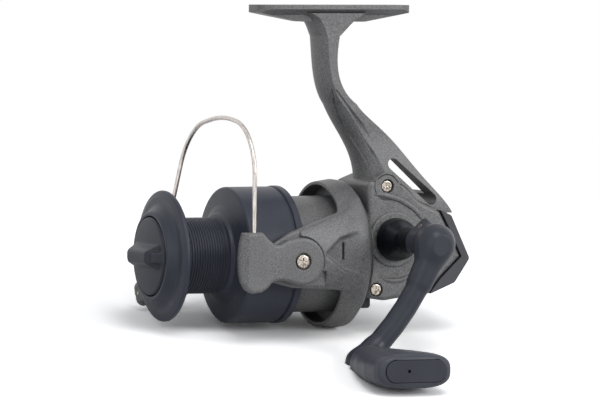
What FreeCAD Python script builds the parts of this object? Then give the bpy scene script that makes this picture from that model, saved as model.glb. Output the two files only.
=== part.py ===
import FreeCAD, Part
import os
from math import atan2, cos, hypot, pi, radians, sin, sqrt, tan

# Spinning reel, in millimetres.
#
# Everything is drawn on the bench, with the spool axis along X: +X points
# forward through the spool, +Y to the handle side and +Z up to the rod foot.
# X = 0 is under the middle of the foot. to_foot_frame() then turns the reel
# half a turn about Z and hangs it below the foot, so the file's origin is the
# middle of the foot's flat top, the spool points to -X and the handle to -Y.

# ---- foot and stem ----
FOOT_TO_SHAFT = 88.0        # foot top down to the spool axis
FOOT_LENGTH = 59.0
FOOT_WIDTH = 15.0
FOOT_TIP_THICK = 2.5        # at the very ends
FOOT_END_THICK = 3.5        # just inside them
FOOT_ROOT_THICK = 5.9       # at the stem
FOOT_CORNER = 5.0
FOOT_BEVEL = 3.0            # width of the bevel along the lower edges
STEM_HALF_WIDTH = 7.4
SLOT_WIDTH = 4.2            # see-through slot in the rear of the stem
SLOT_FRONT = (-21.4, 31.7)
SLOT_REAR = (-34.8, 19.45)
SLOT_WEB = 3.0              # the slot opens into a pocket beyond this plane
FLUTE_HALF = 0.9            # V-grooves on the flanks
FLUTE_DEPTH = 0.6

# ---- gearbox ----
WALL = 1.7
BODY_FAR = -13.0            # outer face, side away from the handle
SPLIT = 12.5                # plane where the side cover meets the body
COVER_FACE = 16.0           # outer face of the side cover
POST_R = 1.9                # screw posts
SCREW_R = 0.8
BODY_FRONT = -8.4           # the round nose starts here
NOSE_RADIUS = 17.6
NOSE_ROOT_RADIUS = 21.2
NOSE_FRONT = 8.0
NOSE_STEP = -4.2

# ---- gear train ----
AXLE_X = -18.6              # handle axle, behind the foot centre
AXLE_Z = 5.5                # and above the spool axis: the gear offset
AXLE_R = 3.0
PINION_TEETH = 9
GEAR_TEETH = 45
PINION_PITCH_R = 2.87
TOOTH_ADDENDUM = 0.50
TOOTH_DEDENDUM = 0.66
TOOTH_LENGTH = 3.2
TOOTH_THICK = 0.64          # at the pitch line, of a pitch of about 2
GEAR_WEB = 2.6
OSC_DRIVER_TEETH = 16
OSC_GEAR_TEETH = 28
OSC_PLANE = -10.6           # far face of both oscillation gears
OSC_THICK = 2.0
STROKE = 13.0               # spool travel
CRANK_PIN_R = 1.25
SLIDER_HALF = 2.4
SLIDER_FACE = -4.9
SLIDER_BACK = 1.9
SLIDER_X = -24.3            # slot centre with the spool right forward
GUIDE_Z = 10.4
GUIDE_R = 1.0
GUIDE_REAR = -40.2          # where the rod enters the rear cover
GUIDE_GRIP = 1.6            # and how deep

# ---- shaft, pinion, bearings, clutch ----
SHAFT_R = 1.6
SHAFT_FRONT = 66.0
PINION_R = 3.5
PINION_FRONT = 26.5
BEARING_W = 5.0
BEARING_R = 7.0
BEARING_X = 2.0
CLUTCH_FRONT = 15.4
CLUTCH_R = 10.7
CLUTCH_FLANGE_R = 14.6
CLUTCH_SCREW_R = 12.7
SLEEVE_R = 5.2
ROLLER_R = 1.1
ROLLER_PITCH_R = 6.4
ROLLERS = 8
HANDLE_BEARING_R = 6.5
HANDLE_BEARING_W = 3.6

# ---- anti-reverse lever ----
LEVER_X = -14.0
LEVER_Z = -13.5
LEVER_ROD_R = 1.1
LEVER_TIP_Z = -19.6
FINGER_OFFSET = 2.0

# ---- rotor ----
CUP_R = 20.5
CUP_WALL = 2.0
CUP_FRONT = 22.0
CUP_WEB = 2.5
ROTOR_SEAT = CUP_FRONT - CUP_WEB
RING_REAR = -7.6
RING_REAR_R = 23.5
RING_CREST = -2.7
RING_CREST_R = 26.3
RING_LIP = 2.3
RING_LIP_R = 25.0
RING_WALL = 1.3
ARM_INNER_R = 24.9
ARM_ROOT_R = 28.8
ARM_TIP_R = 30.6
ARM_REAR = -3.5
PIVOT_X = 23.0              # bail pivots
PIVOT_Z = -1.0
EYE_R = 8.8
HUB_R = 8.3
BAIL_SPRING_R = 4.4         # torsion spring round the handle-side pivot
HUB_SEAT = 27.6             # where the bail levers seat on the arms
HUB_OUT = 31.0
PIVOT_SCREW_R = 2.0

# ---- bail ----
WIRE_R = 0.8
WIRE_CAP = 5.0              # cap that ends the wire at the line roller
ROLLER_SCREW_R = 0.95
FAN_X = 41.3
FAN_Y = 29.6                # where the wire enters the fan
ROLLER_LINE_R = 3.4
ROLLER_LINE_W = 5.4
ROLLER_ARM_X = 50.0
ROLLER_ARM_Z = -14.4
ROLLER_ARM_Y = -30.4

# ---- spool and drag ----
SKIRT_R = 24.0
SKIRT_WALL = 1.8
SKIRT_REAR = 19.3
SKIRT_FRONT = 40.0
ARBOR_R = 13.4
ARBOR_WALL = 2.1
SHAFT_HUB_REAR = 42.0       # rear end of the hub on the shaft
ARBOR_REAR = 43.0
ARBOR_FRONT = 61.2
ARBOR_RINGS = 13
FLANGE_R = 23.0
FLANGE_FRONT = 64.4
COLLAR_R = 17.7
COLLAR_FRONT = 66.6
KNOB_R = 13.75
KNOB_FACE = 67.8
KNOB_TIP = 73.5
KNOB_POCKET = 62.4
DRAG_FLOOR = 50.0
DRAG_WASHER_R = 10.6
FIN_HALF = 3.8

# ---- handle ----
COLLAR_BASE_R = 7.8
COLLAR_BASE = 17.2
NECK_R = 4.2
NECK_START = 28.0
SHOULDER = 36.6
HINGE_Y = 41.0
HINGE_OFFSET = 3.6
HINGE_PIN_R = 1.1
TONGUE = 4.0
ELBOW_Y = 49.0
ELBOW_R = 7.0
ARM_LENGTH = 49.55          # straight from the axle to the grip's axis
ARM_DROP = -55.0            # degrees below forward
ARM_BOW = 3.5               # the arm bends away from that line by this much
ARM_R = 3.95
SOCKET_LENGTH = 13.0        # thick start of the arm
SLEEVE_LENGTH = 8.0         # and its slightly thicker end
GRIP_BOSS = 6.2             # arm's end face, beyond its centre line
SPINDLE_R = 2.0
KNOB_NECK_R = 6.2
KNOB_LENGTH = 41.0
KNOB_WIDE = 28.0
KNOB_THICK = 12.6

# ---- fits ----
RUN = 0.05                  # radial running fit
FREE = 0.35                 # gap between moving pieces that never touch
SHIM = 0.3

V = FreeCAD.Vector
X, Y, Z = V(1, 0, 0), V(0, 1, 0), V(0, 0, 1)
ORIGIN = V(0, 0, 0)
NODES = {}


def add(name, shape):
    """Keep a finished piece under its node name."""
    solids = [s for s in shape.Solids]
    NODES[name] = solids[0] if len(solids) == 1 else Part.makeCompound(solids)


def rod(start, direction, length, radius, radius_end=None):
    """A cylinder, or a cone when its far end has another radius."""
    start, direction = V(*start), V(*direction)
    if radius_end is None:
        return Part.makeCylinder(radius, length, start, direction)
    return Part.makeCone(radius, radius_end, length, start, direction)


def tube(start, direction, length, outer, inner):
    """A plain ring or sleeve."""
    return rod(start, direction, length, outer).cut(rod(start, direction, length, inner))


def block(x0, x1, y0, y1, z0, z1):
    """A box between two corners."""
    return Part.makeBox(x1 - x0, y1 - y0, z1 - z0, V(x0, y0, z0))


def union(first, *others):
    """Join pieces and drop the seams between them."""
    return first.fuse(list(others)).removeSplitter()


def rounded_wire(points, lift):
    """Closed outline through (u, v, corner radius), with tangent corner arcs."""
    edges, count = [], len(points)
    joins = []
    for i, (u, v, r) in enumerate(points):
        pu, pv, _ = points[i - 1]
        nu, nv, _ = points[(i + 1) % count]
        here = V(u, v, 0)
        back = (V(pu, pv, 0) - here)
        ahead = (V(nu, nv, 0) - here)
        back.normalize()
        ahead.normalize()
        if r == 0:
            joins.append((here, None, here))
            continue
        half = back.getAngle(ahead) / 2
        reach = r / tan(half)
        middle = back + ahead
        middle.normalize()
        joins.append((here + back * reach,
                      here + middle * (r / sin(half) - r),
                      here + ahead * reach))
    for i, (start, middle, end) in enumerate(joins):
        if middle is not None:
            edges.append(Part.Arc(lift(start), lift(middle), lift(end)).toShape())
        following = joins[(i + 1) % count][0]
        if (following - end).Length > 1e-6:
            edges.append(Part.LineSegment(lift(end), lift(following)).toShape())
    return Part.Wire(edges)


def side_prism(points, y0, y1):
    """Extrude an outline of (x, z, corner radius) from y0 to y1."""
    wire = rounded_wire(points, lambda p: V(p.x, y0, p.y))
    return Part.Face(wire).extrude(V(0, y1 - y0, 0))


def turned_x(points):
    """Turn an outline of (x, radius, corner radius) about the spool axis."""
    wire = rounded_wire(points, lambda p: V(p.x, 0, p.y))
    return Part.Face(wire).revolve(ORIGIN, X, 360)


def turned_y(points, x, z):
    """Turn an outline of (y, radius, corner radius) about a cross axis at x, z."""
    wire = rounded_wire(points, lambda p: V(x + p.y, p.x, z))
    return Part.Face(wire).revolve(V(x, 0, z), Y, 360)


def round_edges(shape, radius, chosen):
    """Fillet the edges that the test picks."""
    edges = [e for e in shape.Edges if chosen(e)]
    return shape.makeFillet(radius, edges) if edges else shape


def polar(radius, degrees, lift):
    """A point at a radius and angle, placed by lift(u, v)."""
    return lift(radius * cos(radians(degrees)), radius * sin(radians(degrees)))


def spur_outline(teeth, pitch_r, addendum, dedendum, thick, lift, first=0.0):
    """Straight-flanked tooth outline; a tooth stands at the angle 'first'."""
    points = []
    half_pitch = degrees_of(thick / 2 / pitch_r)
    tip_r, root_r = pitch_r + addendum, pitch_r - dedendum
    half_tip = half_pitch * 0.50
    half_root = half_pitch * 1.75
    for i in range(teeth):
        centre = first + i * 360.0 / teeth
        for radius, turn in ((root_r, -half_root), (tip_r, -half_tip),
                             (tip_r, half_tip), (root_r, half_root)):
            points.append(polar(radius, centre + turn, lift))
    return Part.Face(Part.makePolygon(points + points[:1]))


def degrees_of(angle):
    """Radians to degrees."""
    return angle * 180.0 / pi


def coil(start, direction, radius, wire_r, turns, pitch):
    """A close-wound spring: rings a pitch apart, joined by short links."""
    start = V(*start)
    side = V(direction.y, direction.z, direction.x) * radius
    rings = [Part.makeTorus(radius, wire_r, start + direction * (i * pitch), direction)
             for i in range(turns)]
    links = [Part.makeCylinder(wire_r, pitch, start + direction * (i * pitch) + side, direction)
             for i in range(turns - 1)]
    return rings[0].fuse(rings[1:] + links)


def double_d(x0, x1, radius, flat):
    """A round bar along X with two flats."""
    bar = rod((x0, 0, 0), (1, 0, 0), x1 - x0, radius)
    return bar.common(block(x0, x1, -radius, radius, -flat, flat))


def pan_screw(head_at, direction, head_r, head_h, shank_r, length):
    """Cross-recess screw: head_at is under the head, direction points to the tip."""
    head_at, direction = V(*head_at), V(*direction)
    head = Part.makeCylinder(head_r, head_h, head_at - direction * head_h, direction)
    top = [e for e in head.Edges if (e.CenterOfMass - head_at).Length > head_h * 0.9]
    head = head.makeFillet(head_h * 0.35, [e for e in top if len(e.Vertexes) == 1][:1])
    shank = Part.makeCylinder(shank_r, length, head_at, direction)
    screw = head.fuse(shank)
    side = direction.cross(Z if abs(direction.z) < 0.9 else X)
    side.normalize()
    crown = head_at - direction * head_h
    for arm in (side, direction.cross(side)):
        bar = Part.makeBox(head_r * 1.1, head_r * 0.24, head_h * 0.5)
        across = direction.cross(arm)
        turn = FreeCAD.Matrix(arm.x, across.x, direction.x, 0, arm.y, across.y, direction.y, 0,
                              arm.z, across.z, direction.z, 0, 0, 0, 0, 1)
        bar.translate(V(-head_r * 0.55, -head_r * 0.12, 0))
        bar = bar.transformGeometry(turn)
        bar.translate(crown)
        screw = screw.cut(bar)
    return screw


# =====================================================================
# Housing
# =====================================================================
# stem slices: height below the foot's top, front, rear, half width, depth of the round nose
STEM_SLICES = ((2.9, 13.5, -11.5, 7.0, 3.4), (5.0, 9.8, -7.5, 6.9, 3.3), (8.0, 7.9, -4.2, 6.8, 3.2),
               (11.0, 6.6, -1.1, 6.9, 3.0), (19.0, 5.9, -0.2, 7.1, 2.9), (27.0, 4.7, -1.4, 7.3, 3.0),
               (35.0, 1.4, -7.6, STEM_HALF_WIDTH, 3.6), (44.0, -3.6, -17.3, STEM_HALF_WIDTH, 5.0),
               (52.0, -8.2, -25.2, 8.0, 6.0), (59.0, -10.4, -30.9, 9.6, 7.4),
               (66.0, -10.6, -37.1, 11.4, 8.0), (73.5, -10.6, -43.0, SPLIT - 0.3, 8.0))
# where the grooves run down the flanks, as (x, height)
FLUTES = (((1.8, 58.4), (-1.4, 50.3), (-5.8, 42.2), (-11.3, 33.7), (-13.0, 29.6)),
          ((0.6, 58.4), (-9.9, 45.0), (-19.1, 33.4)),
          ((-8.1, 43.8), (-13.7, 35.3), (-16.5, 29.6)))
REAR_EDGE = ((-36.7, 15.0), (-39.4, 10.0), (-44.7, -0.9), (-36.4, -8.8), (-32.6, -13.6))
REAR_TIP = ((-40.7, 13.8), (-48.0, -1.6), (-42.2, -10.1), (-32.9, -13.9))
COVER_TOP = (-36.6, 15.55)  # where the rear cover's seam starts
SEAM = 0.05
COVER_SCREWS = ((-15.7, 24.3), (-11.8, -12.2), (-28.4, -11.4))


def gearbox_outline(front):
    """Side view of the gearbox, from its front face round to the rear cover seam."""
    return [(front, -14.6, 2.0), (-15.0, -16.2, 6.0), (-32.6, -13.6, 0), (-36.4, -8.8, 0),
            (-44.7, -0.9, 0), (-39.4, 10.0, 0), (-36.7, 15.0, 0), (-28.4, 19.0, 3.0),
            (-22.0, 25.4, 3.0), (-15.7, 28.4, 3.4), (front, 25.6, 2.0)]


def stem_section(height, front, rear, half_width, nose):
    """D-shaped slice of the stem: flat behind, rounded in front."""
    flank = front - nose
    places = [V(rear, -half_width, height), V(flank, -half_width, height),
              V(front, 0, height), V(flank, half_width, height), V(rear, half_width, height)]
    return Part.Wire([Part.LineSegment(places[0], places[1]).toShape(),
                      Part.Arc(places[1], places[2], places[3]).toShape(),
                      Part.LineSegment(places[3], places[4]).toShape(),
                      Part.LineSegment(places[4], places[0]).toShape()])


def stem():
    """Stem from the foot's underside down to the gearbox."""
    sections = [stem_section(FOOT_TO_SHAFT - down, *rest) for down, *rest in STEM_SLICES]
    upper = Part.makeLoft(sections[:4], True, False)
    middle = Part.makeLoft(sections[3:7], True, False)
    lower = Part.makeLoft(sections[6:], True, False)
    return upper.fuse([middle, lower])


def slot():
    """See-through slot in the stem, and the pocket behind it, open to the rear."""
    front = V(SLOT_FRONT[0], -20, SLOT_FRONT[1])
    rear = V(SLOT_REAR[0], -20, SLOT_REAR[1])
    along = rear - front
    along.normalize()
    half = SLOT_WIDTH / 2
    across = V(along.z, 0, -along.x) * half
    corners = [front + across, rear + across, rear - across, front - across]
    window = Part.Face(Part.makePolygon(corners + corners[:1])).extrude(Y * 40)
    ends = [Part.makeCylinder(half, 40, p, Y) for p in (front, rear)]
    corners = [front - across, front + across * 4, rear + across * 5, rear - across]
    pocket = Part.Face(Part.makePolygon(corners + corners[:1])).extrude(Y * (20 + SLOT_WEB))
    return window.fuse(ends + [pocket])


def foot():
    """Rod foot: flat on top, thickest at the stem, with thin rounded ends."""
    half, wide = FOOT_LENGTH / 2, FOOT_WIDTH / 2
    top = FOOT_TO_SHAFT
    side = [(half, top, 0), (-half, top, 0), (-half, top - FOOT_TIP_THICK, 1.2),
            (4.5 - half, top - FOOT_END_THICK, 8.0), (-12.0, top - FOOT_ROOT_THICK, 8.0),
            (12.0, top - FOOT_ROOT_THICK, 8.0), (half - 4.5, top - FOOT_END_THICK, 8.0),
            (half, top - FOOT_TIP_THICK, 1.2)]
    bar = side_prism(side, -wide, wide)
    plan = rounded_wire([(half, wide, FOOT_CORNER), (-half, wide, FOOT_CORNER),
                         (-half, -wide, FOOT_CORNER), (half, -wide, FOOT_CORNER)],
                        lambda p: V(p.x, p.y, top - 20))
    bevel_top = top - FOOT_END_THICK + 2.0
    flat = wide - FOOT_BEVEL
    low = [(flat, top - FOOT_END_THICK), (flat - 1.0, top - 10), (1.0 - flat, top - 10),
           (-flat, top - FOOT_END_THICK), (-wide, bevel_top), (-wide, top), (wide, top), (wide, bevel_top)]
    ends = Part.Face(Part.makePolygon([V(-half, y, z) for y, z in low + low[:1]])).extrude(X * 2 * half)
    return bar.common(Part.Face(plan).extrude(Z * 30)).common(ends)


def cavity():
    """Inside of the gearbox, open to the handle side and to the rear cover."""
    outline = [(BODY_FRONT - 0.6, -9.5, 1.0), (-16.0, -11.9, 3.0), (-32.0, -12.0, 1.0),
               (-52.0, -12.0, 0), (-52.0, 12.6, 0), (-36.0, 12.6, 1.0), (-27.6, 17.4, 2.0),
               (-22.6, 22.0, 2.0), (-19.6, 22.4, 1.0), (BODY_FRONT - 0.6, 18.6, 1.0)]
    room = side_prism(outline, BODY_FAR + WALL, SPLIT + 0.01)
    pocket_r = gear_outer_radius() + FREE
    gear_room = rod((AXLE_X, SLIDER_BACK - 0.4, AXLE_Z), (0, 1, 0), 5.7, pocket_r)
    pinion_room = rod((BODY_FRONT - 1, 0, 0), (1, 0, 0), 7.2, PINION_PITCH_R + TOOTH_ADDENDUM + 1.2)
    return room.fuse([gear_room, pinion_room])


def gear_outer_radius():
    """Tip radius of the drive gear's toothed rim."""
    reach = GEAR_TEETH / PINION_TEETH * PINION_PITCH_R + TOOTH_LENGTH / 2
    return hypot(reach, AXLE_Z)


def rear_limit(y0, y1):
    """Everything behind the rear cover seam, to trim the housings along it."""
    x0, z0 = COVER_TOP
    slope = (z0 - REAR_TIP[0][1]) / (x0 - REAR_TIP[0][0])
    points = [(x0, z0 + SEAM, 0)]
    points += [(x, z, 0) for x, z in REAR_EDGE]
    points += [(REAR_EDGE[-1][0] + 0.4, -30, 0), (-60, -30, 0), (-60, z0 + SEAM - slope * (x0 + 60), 0)]
    return side_prism(points, y0, y1)


def body_housing():
    """Foot, stem, gearbox shell and round nose in one moulding."""
    shell = side_prism(gearbox_outline(BODY_FRONT), BODY_FAR, SPLIT)
    shell = round_edges(shell, 2.2, lambda e: abs(e.BoundBox.YMax - BODY_FAR) < 1e-4
                        and abs(e.BoundBox.YMin - BODY_FAR) < 1e-4
                        and e.BoundBox.ZMax < 14 and e.BoundBox.XMax < -9)
    nose = turned_x([(BODY_FRONT - 2, 0, 0), (BODY_FRONT - 2, 12.0, 0), (BODY_FRONT, 12.0, 0),
                     (BODY_FRONT, NOSE_ROOT_RADIUS, 0), (NOSE_STEP, NOSE_RADIUS, 0),
                     (NOSE_FRONT, NOSE_RADIUS, 1.0), (NOSE_FRONT, 0, 0)])
    far_boss = rod((AXLE_X, BODY_FAR - 3.0, AXLE_Z), (0, 1, 0), 5.0, 9.8)
    far_boss = far_boss.makeFillet(0.8, [e for e in far_boss.Edges
                                         if abs(e.CenterOfMass.y - BODY_FAR + 3) < 1e-4
                                         and len(e.Vertexes) == 1])
    solid = foot().fuse([stem(), shell, nose, far_boss])
    bosses = [rod((x, BODY_FAR + WALL, z), (0, 1, 0), SPLIT - BODY_FAR - WALL, POST_R)
              for x, z in COVER_SCREWS]
    inside = cavity()
    solid = solid.cut(inside)
    room_floor = side_prism(gearbox_outline(BODY_FRONT), BODY_FAR + 1, SPLIT)
    posts = Part.makeCompound(bosses).common(room_floor)
    gear_sweep = rod((AXLE_X, SLIDER_BACK - 0.4, AXLE_Z), (0, 1, 0), SPLIT, gear_outer_radius() + FREE)
    posts = posts.cut(gear_sweep)
    guide_end = rod((BODY_FRONT - 3.0, 0, GUIDE_Z), (1, 0, 0), 3.0, 2.4)
    osc_x, osc_z = osc_centre()
    osc_boss = rod((osc_x, BODY_FAR + WALL - 0.2, osc_z), (0, 1, 0), 0.5, 3.2)
    lever_rib = block(LEVER_X - 6, BODY_FRONT + 0.2, -3.2, 3.2, LEVER_Z - 1.6, LEVER_Z + 1.75)
    solid = solid.fuse([posts, guide_end, osc_boss, lever_rib])
    cuts = [slot(), rear_limit(-30, 30)]
    cuts.append(rod((BEARING_X, 0, 0), (1, 0, 0), 20, BEARING_R))
    cuts.append(rod((-5, 0, 0), (1, 0, 0), 10, 5.0))
    cuts.append(rod((AXLE_X, BODY_FAR - 3.0, AXLE_Z), (0, 1, 0), 10, HANDLE_BEARING_R))
    cuts.append(rod((osc_x, BODY_FAR + 0.8, osc_z), (0, 1, 0), 5, 2.0))
    cuts.append(rod((BODY_FRONT - 3.5, 0, GUIDE_Z), (1, 0, 0), 2.5, GUIDE_R))
    cuts.append(rod((LEVER_X - 5.0, 0, LEVER_Z), (1, 0, 0), 40, LEVER_ROD_R + RUN))
    cuts.append(block(LEVER_X - 2.6, LEVER_X + 2.6, -3.4, 3.4, -30, LEVER_Z + 0.1)
                .fuse(rod((LEVER_X - 2.6, 0, LEVER_Z), (1, 0, 0), 5.2, 3.2)))
    cuts += [rod((x, SPLIT - 9, z), (0, 1, 0), 12, SCREW_R + RUN) for x, z in COVER_SCREWS]
    cuts += [rod((NOSE_FRONT - 6, y, z), (1, 0, 0), 8, 0.9) for y, z in clutch_screw_places()]
    cuts += stem_flutes()
    return solid.cut(cuts)


def flank(x, z):
    """Half width of the stem's surface at x and a height."""
    down = FOOT_TO_SHAFT - z
    for upper, lower in zip(STEM_SLICES, STEM_SLICES[1:]):
        if upper[0] <= down <= lower[0]:
            share = (down - upper[0]) / (lower[0] - upper[0])
            front, _, half_width, nose = [a + (b - a) * share for a, b in zip(upper[1:], lower[1:])]
    if x <= front - nose:
        return half_width
    radius = (half_width ** 2 + nose ** 2) / (2 * nose)
    return sqrt(radius ** 2 - (x - front + radius) ** 2)


def stem_flutes():
    """Shallow V-grooves that fan down both flanks of the stem."""
    grooves = []
    for route in FLUTES:
        for side in (-1, 1):
            places = [V(x, side * flank(x, z), z) for x, z in route]
            rings = []
            for i, here in enumerate(places):
                run = places[min(i + 1, len(places) - 1)] - places[max(i - 1, 0)]
                across = run.cross(Y)
                across.normalize()
                size = 0.25 if i in (0, len(places) - 1) else 1.0
                corners = [here + across * FLUTE_HALF * size, here + Y * side * FLUTE_HALF,
                           here - across * FLUTE_HALF * size, here - Y * side * FLUTE_DEPTH * size]
                rings.append(Part.makePolygon(corners + corners[:1]))
            grooves.append(Part.makeLoft(rings, True, True))
    return grooves


def side_cover():
    """Cover on the handle side, with its raised ring, screw boss and bearing seat."""
    plate = side_prism(gearbox_outline(BODY_FRONT), SPLIT, COVER_FACE)
    outer = [e for e in plate.Edges if abs(e.BoundBox.YMin - COVER_FACE) < 1e-4]
    plate = plate.makeFillet(1.6, outer)
    hollow = side_prism([(x * 0.93 - 1.4, z * 0.86 + 0.6, 0) for x, z, _ in
                         gearbox_outline(BODY_FRONT)], SPLIT - 0.01, COVER_FACE - WALL)
    hollow = hollow.cut([rod((x, 0, z), (0, 1, 0), 30, 2.9) for x, z in COVER_SCREWS])
    seat = rod((AXLE_X, SPLIT - 2.0, AXLE_Z), (0, 1, 0), COVER_FACE - SPLIT + 2.0, 8.6)
    ring = rod((AXLE_X, COVER_FACE - 1, AXLE_Z), (0, 1, 0), 1.9, 9.8)
    ring = ring.makeFillet(0.6, [e for e in ring.Edges if e.CenterOfMass.y > COVER_FACE
                                 and len(e.Vertexes) == 1])
    x, z = COVER_SCREWS[0]
    boss = rod((x, SPLIT, z), (0, 1, 0), COVER_FACE - SPLIT + 0.35, 4.9)
    boss = boss.makeFillet(0.3, [e for e in boss.Edges if e.CenterOfMass.y > COVER_FACE
                                 and len(e.Vertexes) == 1])
    solid = plate.cut(hollow).fuse([seat, ring, boss])
    cuts = [rod((AXLE_X, 0, AXLE_Z), (0, 1, 0), SPLIT - 2.0 + HANDLE_BEARING_W, HANDLE_BEARING_R)]
    cuts.append(rod((AXLE_X, 0, AXLE_Z), (0, 1, 0), 40, AXLE_R + 0.6))
    cuts.append(rear_limit(-30, 30))
    for x, z in COVER_SCREWS:
        cuts.append(rod((x, 0, z), (0, 1, 0), 30, SCREW_R + 0.15))
        cuts.append(rod((x, COVER_FACE - 1.4, z), (0, 1, 0), 5, 2.5))
    solid = solid.cut(cuts)
    return solid


def rear_cover():
    """Dark wedge that caps the rear of the gearbox."""
    outline = [(COVER_TOP[0] - SEAM, COVER_TOP[1], 0)]
    outline += [(x, z, 1.6) for x, z in REAR_TIP]
    outline[-1] = (REAR_TIP[-1][0], REAR_TIP[-1][1], 0)
    outline += [(x - 0.2, z, 0) for x, z in REAR_EDGE[::-1]]
    solid = side_prism(outline, BODY_FAR - 0.25, COVER_FACE + 0.25)
    inner = [(REAR_EDGE[0][0] + 3, 12.5, 0), (-40.0, 12.5, 0), (-46.4, -1.4, 0), (-41.4, -8.9, 0),
             (REAR_EDGE[0][0] + 3, -8.9, 0)]
    solid = solid.cut(side_prism(inner, BODY_FAR + WALL, COVER_FACE - WALL))
    solid = solid.fuse(block(GUIDE_REAR - 2.8, GUIDE_REAR, -1.6, 1.6, GUIDE_Z - 2.0, GUIDE_Z + 2.4))
    return solid.cut(rod((GUIDE_REAR - GUIDE_GRIP, 0, GUIDE_Z), (1, 0, 0), 10, GUIDE_R))



def osc_centre():
    """Centre of the oscillation gear, half a stroke behind the slider."""
    return SLIDER_X - STROKE / 2, 0.0


def clutch_screw_places():
    """Three screws round the clutch flange, clear of the lever rod."""
    return [(CLUTCH_SCREW_R * cos(radians(a)), CLUTCH_SCREW_R * sin(radians(a))) for a in (30, 150, 215)]


def fasten_housing():
    """Screws that hold the covers, and the guide rod."""
    screws = [pan_screw((x, COVER_FACE - 1.4, z), (0, -1, 0), 2.1, 1.2, SCREW_R, 9.0)
              for x, z in COVER_SCREWS]
    add("cover_screws", Part.makeCompound(screws))
    add("slider_guide_rod", rod((GUIDE_REAR - GUIDE_GRIP, 0, GUIDE_Z), (1, 0, 0),
                                BODY_FRONT - 1.0 - GUIDE_REAR + GUIDE_GRIP, GUIDE_R))


# =====================================================================
# Gear train
# =====================================================================
def bearing(centre, direction, width, outer, inner):
    """Ball bearing drawn as two races, shields and a ball ring in one unit."""
    centre, direction = V(*centre), V(*direction)
    ring = tube(tuple(centre), tuple(direction), width, outer, inner)
    groove_r = (outer + inner) / 2
    half = (outer - inner) * 0.16
    for shift in (0, width - 0.4):
        face = tube(tuple(centre + direction * shift), tuple(direction), 0.4,
                    groove_r + half, groove_r - half)
        ring = ring.cut(face)
    return ring


def drive_gear():
    """Face gear: straight teeth on lines offset from the gear's centre."""
    ratio = GEAR_TEETH / PINION_TEETH
    reach = ratio * PINION_PITCH_R
    near, far = reach - TOOTH_LENGTH / 2, reach + TOOTH_LENGTH / 2
    root_y = PINION_PITCH_R + TOOTH_DEDENDUM
    tip_y = PINION_PITCH_R - TOOTH_ADDENDUM
    tip, base = TOOTH_THICK * 0.50, TOOTH_THICK * 1.62
    profile = Part.makePolygon([V(near, root_y + 0.2, -base / 2), V(near, tip_y, -tip / 2),
                                V(near, tip_y, tip / 2), V(near, root_y + 0.2, base / 2),
                                V(near, root_y + 0.2, -base / 2)])
    tooth = Part.Face(profile).extrude(V(far - near, 0, 0))
    tooth.translate(V(AXLE_X, 0, 0))
    centre = V(AXLE_X, 0, AXLE_Z)
    rim_r = gear_outer_radius()
    inner_r = hypot(near, AXLE_Z) - 0.6
    disc = rod((AXLE_X, root_y, AXLE_Z), (0, 1, 0), GEAR_WEB, rim_r)
    hub = rod((AXLE_X, root_y, AXLE_Z), (0, 1, 0), SPLIT - 2.0 - SHIM - root_y, 5.6)
    teeth = []
    for i in range(GEAR_TEETH):
        copy = tooth.copy()
        copy.rotate(centre, Y, i * 360.0 / GEAR_TEETH)
        teeth.append(copy)
    keep = rod((AXLE_X, 0, AXLE_Z), (0, 1, 0), root_y + 1, rim_r)
    crown = Part.makeCompound(teeth).common(keep)
    relief = tube((AXLE_X, root_y + 1.4, AXLE_Z), (0, 1, 0), GEAR_WEB, inner_r, 7.0)
    solid = disc.fuse([hub]).cut(relief)
    solid = solid.fuse(crown.Solids)
    holes = [rod((AXLE_X + 10 * cos(radians(a)), 0, AXLE_Z + 10 * sin(radians(a))), (0, 1, 0), 20, 1.9)
             for a in range(0, 360, 60)]
    return solid.cut(holes + [rod((AXLE_X, 0, AXLE_Z), (0, 1, 0), 20, AXLE_R)])


def pinion_gear():
    """Brass pinion: nine teeth behind, bearing seat, rotor flats and thread."""
    face = spur_outline(PINION_TEETH, PINION_PITCH_R, TOOTH_ADDENDUM, TOOTH_DEDENDUM, TOOTH_THICK,
                        lambda u, v: V(pinion_tooth_rear(), u, v), 180.0 / PINION_TEETH)
    teeth = face.extrude(V(TOOTH_LENGTH + 0.8, 0, 0))
    neck_x = pinion_tooth_rear() + TOOTH_LENGTH + 0.8
    shank_x = AXLE_X + gear_outer_radius() + SHIM
    neck = rod((neck_x - 0.1, 0, 0), (1, 0, 0), shank_x - neck_x + 0.2, PINION_PITCH_R - TOOTH_DEDENDUM)
    shank = rod((shank_x, 0, 0), (1, 0, 0), ROTOR_SEAT - shank_x, PINION_R)
    collar = rod((BEARING_X - 1.2, 0, 0), (1, 0, 0), 1.1, 4.4)
    flats = double_d(ROTOR_SEAT, CUP_FRONT + 0.6, PINION_R, 2.8)
    thread = rod((CUP_FRONT + 0.6, 0, 0), (1, 0, 0), PINION_FRONT - CUP_FRONT - 0.6, 2.75)
    solid = union(teeth, neck, shank, collar, flats, thread)
    return solid.cut(rod((-20, 0, 0), (1, 0, 0), 60, SHAFT_R + RUN))



def pinion_tooth_rear():
    """Rear end of the pinion's teeth, just behind the gear's teeth."""
    return AXLE_X + GEAR_TEETH / PINION_TEETH * PINION_PITCH_R - TOOTH_LENGTH / 2 - 0.4


def osc_module():
    """Tooth size that makes the two oscillation gears meet."""
    osc_x, osc_z = osc_centre()
    distance = hypot(osc_x - AXLE_X, osc_z - AXLE_Z)
    return 2 * distance / (OSC_DRIVER_TEETH + OSC_GEAR_TEETH)


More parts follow.
